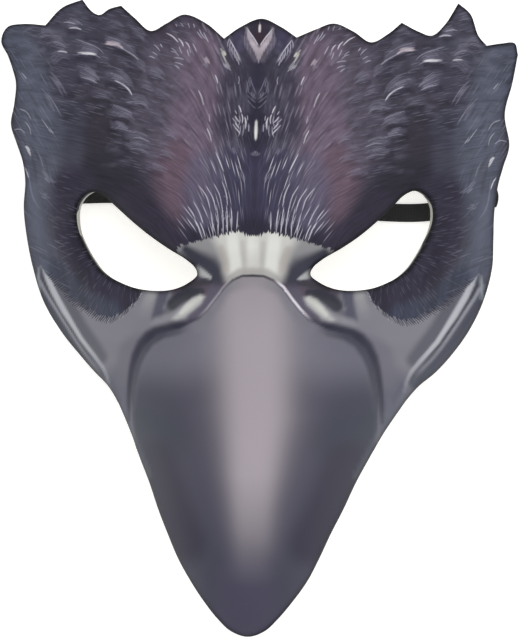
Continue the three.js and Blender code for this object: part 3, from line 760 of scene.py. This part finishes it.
# Soft strokes that follow the feathers
scatter = {
    "seed": 11,
    "share": (0.3, 1),  # of the strength
    "sets": [  # how many, colour, strength, and the ranges of across, y, length and width
        (60, "#7f7a8b", 0.26, (6, 36), (44, 92), (4, 9), (0.9, 1.6)),
        (46, "#312f39", 0.3, (6, 36), (44, 96), (5, 10), (1.2, 2.4)),
        (50, "#2f2d37", 0.3, (38, 72), (54, 98), (5, 10), (1.6, 3)),
        (30, "#6f6d7b", 0.26, (66, 98), (78, 100), (4, 9), (1.2, 2.2)),
        (40, "#666473", 0.32, (30, 56), (38, 64), (4, 8), (1, 1.8)),
        (60, "#6b6979", 0.3, (36, 76), (60, 98), (4, 8), (0.9, 1.6)),
        (50, "#5d5b6c", 0.4, (3, 16), (40, 92), (3, 7), (0.8, 1.3)),
    ],
}
penShape = {"ends": 0.3, "swell": 0.7, "hard": 0.3, "soft": 1.4, "fade": 2.6}  # of a fine mark, in half widths
seen = {"gloss": 0.014, "light": 0.95}
printLift = {"low": 0.018, "more": 0.038, "from": -20, "to": 25}  # of the left half, to a mm across
printSpread = {"amount": 0.045, "about": 47, "from": 3, "to": 20}  # and its stretch to the left
edgeShade = {"dark": 0.9, "reach": 1.1}  # painted shade: the colour darkens towards the cut, where the edge rolls down
beakBlend = 0.5  # the print's change from cheek to beak, to either side of the border
bandLie = {"high": 57.0, "low": 22.0, "from": 14, "to": 44}  # degrees up from level in the side band, and y
bandPivot = (60, 30)  # the side band's feathers are measured from here
wingSlant = (0.97, 0.24)  # cosine and sine of the wing feathers' slant
fringeHeart = (47.0, 13.0)  # the short feathers under the eye spread from here
fringeTurn = 24  # mm to a radian round the heart

# Where each layer of hairs lies
hairAreas = {
    "root": {"core": 6, "reach": 12, "line": [(10, 39), (13, 27), (20, 20)]},
    "middle": {"core": 8, "reach": 20, "line": [(16, 90), (18, 50)]},
    "quiet": {"core": 6, "reach": 15, "line": [(48, 22), (58, 34), (66, 46)]},
    "around": {"core": 6, "reach": 12, "line": [(70, 18), (67, 3), (60, -6), (50, -11), (43, -9)]},
}
centreFade = (1, 6)  # the root's hairs fade in from the centre line
bandArea = {"lean": 0.1, "at": 20, "across": (70, 79), "up": (76, 92)}
wingArea = {"lean": 0.25, "at": 60, "across": (30, 40)}

# Where the cut shows its pale foam: at the outer ends of the eye holes, and a little at the outline
foamBare = {"eye": {"core": 6, "reach": 9, "line": [(45, 8), (60, 22)]}, "across": (63.5, 67), "up": (8, 14),
    "outline": 0.35}


def printPlace(x, y):  # the cover lies a little askew, so the left half of its picture sits higher
    across = np.abs(x)
    left = np.where(x < 0, 1, 0)
    lift = (printLift["low"] + printLift["more"] * smoothStep(y, printLift["from"], printLift["to"])) * across
    out = printSpread["amount"] * (across - printSpread["about"])
    return across - left * out * smoothStep(across, printSpread["from"], printSpread["to"]), y - left * lift


def underLight(tone):  # the colours are as seen in the light, with a little gloss over them
    return np.clip((tone - seen["gloss"]) / seen["light"], 0.002, 1)


def strokeWeight(stroke, across, y):
    if "area" in stroke:
        away = alongLine(stroke["area"] + stroke["area"][:1], across, y)[0]
        depth = np.where(inside(np.array(stroke["area"]), across, y), away, -away)
        weight = smoothStep(depth, -stroke["soft"], stroke["soft"])
    else:
        away, share = alongLine(stroke["line"], across, y)
        places = alongLine(stroke["line"], *np.array(stroke["line"], float).T)[1]
        away = away / np.interp(share, places, stroke.get("sizes", [1] * len(places)))
        if "glow" in stroke:
            weight = 1 / (1 + away ** 4)
        else:
            weight = 1 - smoothStep(away, stroke["core"], stroke["reach"])
        weight = weight * np.interp(share, places, stroke.get("strengths", [1] * len(places)))
    return weight * stroke.get("strength", 1)


def lay(tone, hexColour, weight):
    return tone * (1 - weight[:, None]) + linear(hexColour) * weight[:, None]


def paint(strokes, across, y, x):
    tone = np.tile(linear(strokes[0]["colour"]), (len(across), 1))
    for stroke in strokes[1:]:
        tone = lay(tone, stroke["colour"], strokeWeight(stroke, x if "oneSided" in stroke else across, y))
    return tone


def beside(line, offset, start=0.0, end=1.0, fan=0.0):  # a part of the line, moved to its left by the offset
    line = penLine(line, 0.8) if len(line) > 2 else np.array(line, float)
    ahead = np.gradient(line, axis=0)
    ahead /= np.linalg.norm(ahead, axis=1)[:, None]
    offset = offset * (1 - fan + fan * np.linspace(0, 1, len(line)))[:, None]
    moved = line + offset * np.column_stack([-ahead[:, 1], ahead[:, 0]])
    at = np.linspace(start, end, len(line)) * (len(line) - 1)
    return np.column_stack([np.interp(at, np.arange(len(line)), moved[:, k]) for k in range(2)])


def softMarks():  # (line, colour, width, strength)
    draw = np.random.default_rng(scatter["seed"])
    marks = []
    for count, hexColour, strength, across, up, length, width in scatter["sets"]:
        for _ in range(count):
            place = np.array([[draw.uniform(*across), draw.uniform(*up)]])
            line = [place[0]]
            for _ in range(round(draw.uniform(*length))):
                place = place + feathers.read(feathers.lie, place)
                line.append(place[0])
            marks.append((line, hexColour, draw.uniform(*width), strength * draw.uniform(*scatter["share"])))
    for line, count, strength in tufts["lines"]:
        height = tufts["gap"] * count
        shade = beside(line, tufts["shadeOffset"], tufts["shadeStart"])
        body = beside(line, tufts["bodyOffset"] * height, tufts["bodyStart"], 1, tufts["fan"])
        marks.append((shade, tufts["shade"], tufts["shadeWidth"], tufts["under"] * strength))
        marks.append((body, tufts["body"], tufts["bodyWidth"] * height + 1, tufts["under"] * strength))
    return marks


def fineMarks():
    draw = np.random.default_rng(tufts["seed"])
    marks = []
    for line, count, strength in tufts["lines"]:
        for k in range(count + 1):
            start, end = draw.uniform(*tufts["start"]) * min(k, 1), draw.uniform(*tufts["end"])
            offset = tufts["gap"] * (k - tufts["first"]) * tufts["spread"]
            offset += draw.uniform(-tufts["loose"], tufts["loose"])
            light = min(strength * draw.uniform(*tufts["light"]) * (1 if k else tufts["firstLight"]), 1)
            marks.append((beside(line, offset, start, end, tufts["fan"]), tufts["hair"], tufts["width"], light))
    for _, hexColour, width, strength, hairCount, spread, lines in wispPaint:
        loose = wispLoose if hairCount > 1 else 0
        for line in lines:
            for k in range(hairCount):
                offset = spread * (k / max(hairCount - 1, 1) - 0.5)
                hair = beside(line, offset, draw.uniform(0, loose), 1 - draw.uniform(0, loose))
                marks.append((hair, hexColour, width, strength * draw.uniform(1 - loose, 1)))
    return marks


def fringeMarks():
    draw = np.random.default_rng(fringe["seed"])
    marks = []
    near, far = fringe["across"]
    border = penLine([p for p in featherLine if near < p[0] < far], fringe["gap"])
    for k, place in enumerate(border):
        turn = np.interp(place[0], *np.array(fringe["turn"]).T) + draw.uniform(-fringe["sway"], fringe["sway"])
        ahead = np.array([math.cos(math.radians(turn)), math.sin(math.radians(turn))])
        root = place - ahead * fringe["inner"] * draw.uniform(*fringe["innerShare"])
        tip = place + ahead * fringe["outer"] * draw.uniform(*fringe["outerShare"])
        hexColour, strength = fringe["dark"], fringe["darkness"]
        if k % 2:
            hexColour = fringe["pale"]
            strength = np.interp(place[0], *np.array(fringe["paleness"]).T) * draw.uniform(*fringe["paleShare"])
        marks.append(([root, tip], hexColour, fringe["width"], strength))
    return marks


def layMark(tone, mark, across, y):  # a stroke that swells from its root and ends in a point
    line, hexColour, width, strength = mark
    points = np.array(line, float)
    low, high = points.min(0) - width, points.max(0) + width
    near = np.nonzero((across > low[0]) & (across < high[0]) & (y > low[1]) & (y < high[1]))[0]
    away, share = alongLine(points, across[near], y[near])
    swell = np.clip(np.sin(math.pi * np.clip(share, 0, 1)), 0, 1)
    half = width / 2 * (penShape["ends"] + (1 - penShape["ends"]) * swell ** penShape["swell"])
    drawn = 1 - smoothStep(away, penShape["hard"] * half, penShape["soft"] * half)
    weight = strength * drawn * np.clip(penShape["fade"] * swell, 0, 1)
    tone[near] = lay(tone[near], hexColour, np.clip(weight, 0, 1))


def addAttribute(mesh, name, *columns):  # three columns make a vector, four a colour
    values = np.column_stack(columns)
    kind, field = {3: ("FLOAT_VECTOR", "vector"), 4: ("FLOAT_COLOR", "color")}[values.shape[1]]
    made = mesh.attributes.new(name, kind, "POINT")
    made.data.foreach_set(field, np.ascontiguousarray(values, np.float32).ravel())


def nearMarks(across, y, margin, brightOnly):  # where the print has thin strokes
    found = np.zeros(len(across), bool)
    for line, _, width, strength in thinMarks + borderMarks:
        if brightOnly and (width > sheet["brightWidth"] or strength < sheet["brightStrength"]):
            continue
        points = np.array(line, float)
        reach = width / 2 + margin
        low, high = points.min(0) - reach, points.max(0) + reach
        near = np.nonzero(~found & (across > low[0]) & (across < high[0]) & (y > low[1]) & (y < high[1]))[0]
        found[near] = alongLine(points, across[near], y[near])[0] < reach
    return found


def carved(across, y):  # the bare skin with its folds, and the groove round the beak
    depth, near = beakDepth(across, y), sheet["nearBeak"]
    skin = (y > sheet["skin"][0]) & (y < sheet["skin"][1]) & (depth < near)
    return skin | (np.abs(depth) < near) & (y > sheet["nearBeakEnd"])


def paintSheet(mesh, x, y, toEdge):
    across, up = printPlace(x, y)
    feather = paint(featherPaint, across, up, x)
    for mark in softMarks() + thinMarks + borderMarks:
        layMark(feather, mark, across, up)
    bare = paint(barePaint, across, up, x)
    for mark in borderMarks:
        layMark(bare, mark, across, up)
    beakIn = beakDepth(across, up)
    inBeak = smoothStep(beakIn, -beakBlend, beakBlend)[:, None]
    bare = bare * (1 - inBeak) + paint(beakPaint, across, up, x) * inBeak
    # painted shade towards the cut edge, where it rolls down
    outline = (1 - edgeShade["dark"] * np.exp(-((toEdge / edgeShade["reach"]) ** 2)))[:, None]

    # where each layer of hairs lies, and how its hairs run there
    line = np.array(featherLine)
    above = np.where(up > np.interp(across, line[:, 0], line[:, 1]), 1, -1)
    cover = alongLine(featherLine, across, up)[0] * above
    root, middle, quiet, around = (strokeWeight(hairAreas[name], across, up)
        for name in ("root", "middle", "quiet", "around"))
    leaning = across - bandArea["lean"] * (up - bandArea["at"])
    band = smoothStep(leaning, *bandArea["across"]) * (1 - smoothStep(up, *bandArea["up"]))
    wing = smoothStep(across + wingArea["lean"] * (up - wingArea["at"]), *wingArea["across"]) * (1 - band)
    lie = feathers.read(feathers.map, np.column_stack([across, up]))
    rise = smoothStep(up, bandLie["from"], bandLie["to"])
    turn = np.radians(bandLie["low"] + (bandLie["high"] - bandLie["low"]) * rise)
    out, over = across - bandPivot[0], up - bandPivot[1]
    fromHeart = across - fringeHeart[0], up - fringeHeart[1]
    addAttribute(mesh, "featherTone", underLight(feather * outline), root * smoothStep(across, *centreFade))
    addAttribute(mesh, "bareTone", underLight(bare * outline), middle * (1 - wing) * (1 - around))
    addAttribute(mesh, "foreheadLie", lie, cover)
    level, slant = wingSlant
    addAttribute(mesh, "wingLie", level * up - slant * across, level * across + slant * up,
        wing * (1 - quiet) * (1 - around))
    sine, cosine = np.sin(turn), np.cos(turn)
    addAttribute(mesh, "bandLie", out * sine - over * cosine, out * cosine + over * sine, band)
    spin = np.arctan2(fromHeart[1], fromHeart[0])
    addAttribute(mesh, "fringeLie", spin * fringeTurn, np.hypot(*fromHeart), around)

    # the painted shade line and painted highlight round the top of the beak, and the foam at the cut
    away, share = alongLine(archShadeAndGlint["line"], across, up)
    side = archShadeAndGlint["left"] + (archShadeAndGlint["right"] - archShadeAndGlint["left"]) * smoothStep(x, *archShadeAndGlint["sides"])
    glint = side * smoothStep(share, *archShadeAndGlint["lightFrom"]) * (1 - smoothStep(share, *archShadeAndGlint["lightTo"]))
    fade = (1 - archShadeAndGlint["thinning"] * share) * (1 - smoothStep(share, *archShadeAndGlint["end"]))
    addAttribute(mesh, "archShadeGlint", away * np.sign(beakIn + 0.001), fade, glint)
    inEye = np.minimum(1, strokeWeight(foamBare["eye"], across, y) * 2)
    bared = smoothStep(across, *foamBare["across"]) * smoothStep(y, *foamBare["up"])
    addAttribute(mesh, "foamShown", np.where(inEye > 0, bared, foamBare["outline"]), inEye, 0 * x)


borderMarks = fringeMarks()
thinMarks = fineMarks()
maskSheet, planX, planY, planToEdge = makeSheet()
paintSheet(maskSheet.data, planX, planY, planToEdge)
print("print painted")


def hairLayer(tree, lie, cell, stroke, share, seed):  # separate tapering strokes, light 0 to 1
    spread = node(tree, "VectorMath", {0: lie, 1: (1 / cell[0], 1 / cell[1], 0), 2: (seed, 1.7 * seed, 0)},
        operation="MULTIPLY_ADD")
    cells = node(tree, "TexVoronoi", {"Vector": spread.outputs[0], "Scale": 1.0}, voronoi_dimensions="2D")
    offset = node(tree, "VectorMath", {0: spread.outputs[0], 1: cells.outputs["Position"]},
        operation="SUBTRACT")
    shape = node(tree, "VectorMath", {0: offset.outputs[0], 1: (cell[0] / stroke[0], cell[1] / stroke[1], 0)},
        operation="MULTIPLY")
    away = node(tree, "VectorMath", {0: shape.outputs[0]}, operation="LENGTH")
    light = node(tree, "MapRange", {"Value": away.outputs["Value"], "From Min": 1.0, "From Max": 0.25},
        interpolation_type="SMOOTHSTEP")
    chance = node(tree, "SeparateColor", {"Color": cells.outputs["Color"]})
    lit = node(tree, "MapRange", {"Value": chance.outputs[0], "From Min": 1 - share, "From Max": 1.0})
    return node(tree, "Math", {0: light.outputs[0], 1: lit.outputs[0]}, operation="MULTIPLY").outputs[0]


def coat(tree, base, relief, bump, roughness, sheen=0, specular=0.5):  # bump: its strength and its depth in metres
    bumps = node(tree, "Bump", {"Height": relief, "Strength": bump[0], "Distance": bump[1]})
    made = node(tree, "BsdfPrincipled", {"Base Color": base, "Roughness": roughness, "Sheen Weight": sheen,
        "Specular IOR Level": specular, "Normal": bumps.outputs[0]})
    node(tree, "OutputMaterial", {"Surface": made.outputs[0]})


# Printed polyester over foam: matt, with a faint knit, and the feathers' hairs drawn along their lie
hairs = {
    "root": {"cell": (1.6, 9.0), "stroke": (0.3, 4.6), "share": 0.75, "colour": "#c9c6d3", "strength": 0.85},
    "middle": {"cell": (1.1, 8.0), "stroke": (0.32, 4.0), "share": 0.8, "colour": "#918a9a", "strength": 0.55},
    "gaps": {"cell": (1.5, 9.0), "stroke": (0.6, 5.0), "share": 0.9, "colour": "#2a2831", "strength": 0.5},
    "wing": {"cell": (1.0, 5.0), "stroke": (0.32, 2.8), "share": 0.7, "colour": "#7b798c", "strength": 0.42},
    "band": {"cell": (1.3, 9.0), "stroke": (0.36, 4.6), "share": 0.7, "colour": "#828596", "strength": 0.5},
    "bandGaps": {"cell": (2.0, 12.0), "stroke": (0.9, 6.0), "share": 0.9, "colour": "#34353f", "strength": 0.4},
    "fringe": {"cell": (1.0, 4.5), "stroke": (0.34, 2.4), "share": 0.7, "colour": "#625f70", "strength": 0.5},
}
printFinish = {
    "jag": 1.5,  # mm, of the feathers' ragged end
    "jagSoft": 0.35,
    "jagCells": (1.1, 0.16, 0),  # to a mm across and along the fringe
    "streakCells": (1.2, 0.1, 0),  # and of the feathers of the forehead
    "streakGain": (0.74, 1.26),
    "knit": 0.8,
    "bump": (0.05, 0.0002),
    "roughness": 0.6,
    "sheen": 0.05,
    "specular": 0.2,
}


def printedCover():
    made, tree = newMaterial("printed_polyester_on_foam")
    feather, bare = (node(tree, "Attribute", attribute_name=name) for name in ("featherTone", "bareTone"))
    lies = [node(tree, "Attribute", attribute_name=name).outputs["Vector"]
        for name in ("foreheadLie", "wingLie", "bandLie", "fringeLie", "archShadeGlint")]
    forehead, wing, band, fringeRun, arch = lies
    coverOf, wingOf, bandOf, fringeOf, archOf = (node(tree, "SeparateXYZ", {0: lie}) for lie in lies)
    # the feathers' own tone, streaked along their lie
    streak = node(tree, "VectorMath", {0: forehead, 1: printFinish["streakCells"]},
        operation="MULTIPLY").outputs[0]
    streaks = node(tree, "TexNoise", {"Vector": streak, "Scale": 1.0, "Detail": 3.0, "Roughness": 0.65},
        noise_dimensions="2D")
    streakGain = node(tree, "MapRange", {"Value": streaks.outputs[0], "From Min": 0.3, "From Max": 0.7,
        "To Min": printFinish["streakGain"][0], "To Max": printFinish["streakGain"][1]}, clamp=False)
    result = node(tree, "VectorMath", {0: feather.outputs["Color"], "Scale": streakGain.outputs[0]},
        operation="SCALE").outputs[0]
    for name, lie, weight in (
        ("gaps", forehead, feather.outputs["Alpha"]),
        ("middle", forehead, bare.outputs["Alpha"]),
        ("root", forehead, feather.outputs["Alpha"]),
        ("wing", wing, wingOf.outputs["Z"]),
        ("bandGaps", band, bandOf.outputs["Z"]),
        ("band", band, bandOf.outputs["Z"]),
        ("fringe", fringeRun, fringeOf.outputs["Z"]),
    ):
        look = hairs[name]
        light = hairLayer(tree, lie, look["cell"], look["stroke"], look["share"], 3.1 + len(name))
        light = node(tree, "Math", {0: light, 1: weight}, operation="MULTIPLY").outputs[0]
        light = node(tree, "Math", {0: light, 1: look["strength"]}, operation="MULTIPLY",
            use_clamp=True).outputs[0]
        mixed = node(tree, "Mix", {0: light, 6: result, 7: colour(look["colour"])}, data_type="RGBA")
        result = mixed.outputs[2]
    # the feathers end in a ragged line over the bare skin
    jagAt = node(tree, "VectorMath", {0: fringeRun, 1: printFinish["jagCells"]},
        operation="MULTIPLY").outputs[0]
    browJag, fringeJag = (node(tree, "TexNoise", {"Vector": at, "Scale": 1.0, "Detail": 1.0},
        noise_dimensions="2D").outputs[0] for at in (streak, jagAt))
    jag = node(tree, "Mix", {0: fringeOf.outputs["Z"], 2: browJag, 3: fringeJag}, data_type="FLOAT")
    jagged = node(tree, "MapRange", {"Value": jag.outputs[0], "From Min": 0.25, "From Max": 0.75,
        "To Min": -printFinish["jag"] / 2, "To Max": printFinish["jag"] / 2}, clamp=False)
    reached = node(tree, "Math", {0: coverOf.outputs["Z"], 1: jagged.outputs[0]}, operation="ADD")
    covered = node(tree, "MapRange", {"Value": reached.outputs[0], "From Min": -printFinish["jagSoft"],
        "From Max": printFinish["jagSoft"]}, interpolation_type="SMOOTHSTEP")
    # the thin painted shade line round the top of the beak, and the painted highlight on its lip, brighter on the
    # right side
    skin = bare.outputs["Color"]
    for shift, share, hexColour in (
        (archShadeAndGlint["shift"], archOf.outputs["Y"], archShadeAndGlint["colour"]),
        (archShadeAndGlint["lightShift"], archOf.outputs["Z"], archShadeAndGlint["light"]),
    ):
        moved = node(tree, "Math", {0: archOf.outputs["X"], 1: shift}, operation="SUBTRACT")
        away = node(tree, "Math", {0: moved.outputs[0]}, operation="ABSOLUTE")
        drawn = node(tree, "MapRange", {"Value": away.outputs[0], "From Min": archShadeAndGlint["soft"],
            "From Max": archShadeAndGlint["half"] / 2})
        weight = node(tree, "Math", {0: drawn.outputs[0], 1: share}, operation="MULTIPLY")
        mixed = node(tree, "Mix", {0: weight.outputs[0], 6: skin, 7: colour(hexColour)}, data_type="RGBA")
        skin = mixed.outputs[2]
    result = node(tree, "Mix", {0: covered.outputs[0], 6: skin, 7: result}, data_type="RGBA").outputs[2]
    # fine knit of the cover; drawn at twice its real size so that it shows
    place = node(tree, "TexCoord")
    knit = node(tree, "TexVoronoi", {"Vector": place.outputs["Object"], "Scale": 1000 / printFinish["knit"]})
    coat(tree, result, knit.outputs["Distance"], printFinish["bump"], printFinish["roughness"],
        printFinish["sheen"], printFinish["specular"])
    return made


# Die-cut EVA foam: pale grey, with fine cells; the die draws the dark cover over most of the cut, but not at
# the outer ends of the eye holes
def cutFoam():
    made, tree = newMaterial("die_cut_eva_foam")
    depth = node(tree, "Attribute", attribute_name="sheetDepth")
    shown = node(tree, "Attribute", attribute_name="foamShown")
    shownOf = node(tree, "SeparateXYZ", {0: shown.outputs["Vector"]})
    hidden = node(tree, "MapRange", {"Value": shownOf.outputs["X"], "To Min": 0.72, "To Max": 0.0})
    bared = node(tree, "Math", {0: depth.outputs["Fac"], 1: hidden.outputs[0]}, operation="SUBTRACT",
        use_clamp=True)
    layers = node(tree, "ValToRGB", {"Fac": bared.outputs[0]})
    ramp = layers.color_ramp
    ramp.elements[0].position, ramp.elements[0].color = 0.06, colour("#35343c")
    ramp.elements[1].position, ramp.elements[1].color = 0.16, colour("#bcbcb6")
    for at, hexColour in ((0.5, "#b6b6b0"), (0.56, "#8f8f8b"), (0.62, "#b4b4ae")):
        ramp.elements.new(at).color = colour(hexColour)
    place = node(tree, "TexCoord")
    cells = node(tree, "TexVoronoi", {"Vector": place.outputs["Object"], "Scale": 2500.0})
    coat(tree, layers.outputs[0], cells.outputs["Distance"], (0.3, 0.0002), 0.85)
    return made


# Brushed knit lining: off-white, soft
def knitLining():
    made, tree = newMaterial("brushed_knit_lining")
    place = node(tree, "TexCoord")
    nap = node(tree, "TexNoise", {"Vector": place.outputs["Object"], "Scale": 900.0, "Detail": 3.0})
    tone = node(tree, "Mix", {0: nap.outputs[0], 6: colour("#c3c0b6"), 7: colour("#dddad1")}, data_type="RGBA")
    coat(tree, tone.outputs[2], nap.outputs[0], (0.4, 0.0004), 0.9, sheen=0.2)
    return made


for made in (printedCover(), cutFoam(), knitLining()):
    maskSheet.data.materials.append(made)
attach(maskSheet, "root")
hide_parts("mask_shell")
print("sheet finished")

# The elastic strap, flat on the table between its glued ends
strap = {
    "width": 7.0,
    "thickness": 0.9,
    "lift": 0.1,
    "steps": 300,
    "stepsAcross": 28,
    "pathPoints": 38,
    "rib": 1.0,  # from rib to rib
    "ribDepth": 0.1,
    "edgeFrom": 0.85,  # of the half width; the selvedge thins from here
    "edgeThin": 0.5,
    "slant": 1.6,  # the right end is cut a little slanted
    "route": [(-90.8, 33.6, 2.0), (-86.5, 33.4, 1.9), (-80.5, 33.0, 1.1), (-73, 32.7, 0.15), (-60, 32.9, 0),
        (-30, 32.4, 0), (0, 30.6, 0), (26, 27.7, 0), (45, 25.7, 0), (62, 25.4, 0),
        (74, 27.2, 0.15), (81, 28.8, 1.2), (87.3, 30.2, 2.2), (92.4, 31.3, 2.3)],
}


def makeStrap():
    lift = strap["lift"] + strap["thickness"] / 2
    route = penLine([(x, y, z + lift) for x, y, z in strap["route"]], 0.5)
    length = np.linalg.norm(np.diff(route, axis=0), axis=1).sum()
    bm = bmesh.new()
    bmesh.ops.create_grid(bm, x_segments=strap["steps"], y_segments=strap["stepsAcross"], size=0.5)
    place = bm.verts.layers.float_vector.new("strapPlace")
    made = bmesh.ops.extrude_face_region(bm, geom=bm.faces[:], use_keep_orig=True)["geom"]
    upper = {g for g in made if isinstance(g, bmesh.types.BMVert)}
    tangents = np.gradient(route, axis=0)
    tangents /= np.linalg.norm(tangents, axis=1)[:, None]
    for v in bm.verts:
        along = (v.co.x + 0.5) * (1 - strap["slant"] / length * (0.7 - v.co.y + 2 * v.co.y ** 2))
        i = min(along * (len(route) - 1), len(route) - 1.001)
        k, across = int(i), v.co.y * strap["width"]
        point = Vector(route[k] * (k + 1 - i) + route[k + 1] * (i - k))
        tangent = Vector(tangents[k])
        side = Vector((0, 0, 1)).cross(tangent).normalized()
        outer = max(0, (abs(v.co.y) * 2 - strap["edgeFrom"]) / (1 - strap["edgeFrom"]))
        half = strap["thickness"] / 2 * (1 - strap["edgeThin"] * outer ** 2)
        half -= strap["ribDepth"] / 2 * (1 - math.cos(2 * math.pi * across / strap["rib"]))
        point = point + side * across + tangent.cross(side) * (half if v in upper else -half)
        v[place] = (along * length, across, 0)
        v.co = inFrame(*point)
    for f in bm.faces:
        f.smooth = True
    bmesh.ops.recalc_face_normals(bm, faces=bm.faces)
    return meshObject("strap_elastic", bm), route, length


strapBand, strapLine, strapLength = makeStrap()
print("strap made:", round(strapLength, 1), "mm long")


# Woven elastic: black polyester over rubber, with ribs along it and short picks across it
def wovenElastic():
    made, tree = newMaterial("woven_black_elastic")
    place = node(tree, "Attribute", attribute_name="strapPlace")
    picks = node(tree, "TexWave", {"Vector": place.outputs["Vector"], "Scale": 0.31, "Distortion": 0.6},
        bands_direction="X")
    # the picks are drawn lighter: painted sheen on their raised tops
    tone = node(tree, "Mix", {0: picks.outputs["Fac"], 6: colour("#07090d"), 7: colour("#10131a")},
        data_type="RGBA")
    coat(tree, tone.outputs[2], picks.outputs["Fac"], (0.4, 0.0001), 0.75, sheen=0.15)
    return made


strapBand.data.materials.append(wovenElastic())
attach(strapBand, "root")
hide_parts("elastic_strap")

# Studio: a white floor and soft light from above
studio = {
    "floor": 3.0,  # metres across
    "floorLevel": -0.0002,
    "floorColour": "#f6f6f6",
    "floorGlow": 0.45,  # the floor is lit from below too, so the eye holes show white
    "sky": 0.56,
    # name, place, size, power
    "lamps": [("key", (0.15, 0.35, 1.25), 0.7, 6.4), ("fill", (0.5, -0.5, 1.2), 1.0, 1.2)],
    "aim": (0, 0, 0.04),
}


def makeStudio():
    bm = bmesh.new()
    bmesh.ops.create_grid(bm, x_segments=1, y_segments=1, size=studio["floor"] / 2)
    floor = meshObject("floor", bm)
    floor.location = (0, 0, studio["floorLevel"])
    made, tree = newMaterial("white_paper")
    paper = node(tree, "BsdfPrincipled", {"Base Color": colour(studio["floorColour"]), "Roughness": 0.9,
        "Emission Color": (1.0, 1.0, 1.0, 1.0), "Emission Strength": studio["floorGlow"]})
    node(tree, "OutputMaterial", {"Surface": paper.outputs[0]})
    floor.data.materials.append(made)
    world = bpy.data.worlds.new("studio")
    world.use_nodes = True
    world.node_tree.nodes["Background"].inputs["Color"].default_value = (1, 1, 1, 1)
    world.node_tree.nodes["Background"].inputs["Strength"].default_value = studio["sky"]
    bpy.context.scene.world = world
    for name, place, size, power in studio["lamps"]:
        data = bpy.data.lights.new(name, "AREA")
        data.size = size
        data.energy = power
        lamp = linked(name, data)
        lamp.location = place
        lamp.rotation_euler = (Vector(studio["aim"]) - Vector(place)).to_track_quat("-Z", "Y").to_euler()
    bpy.context.scene.view_settings.view_transform = "Standard"


makeStudio()
print("studio made")
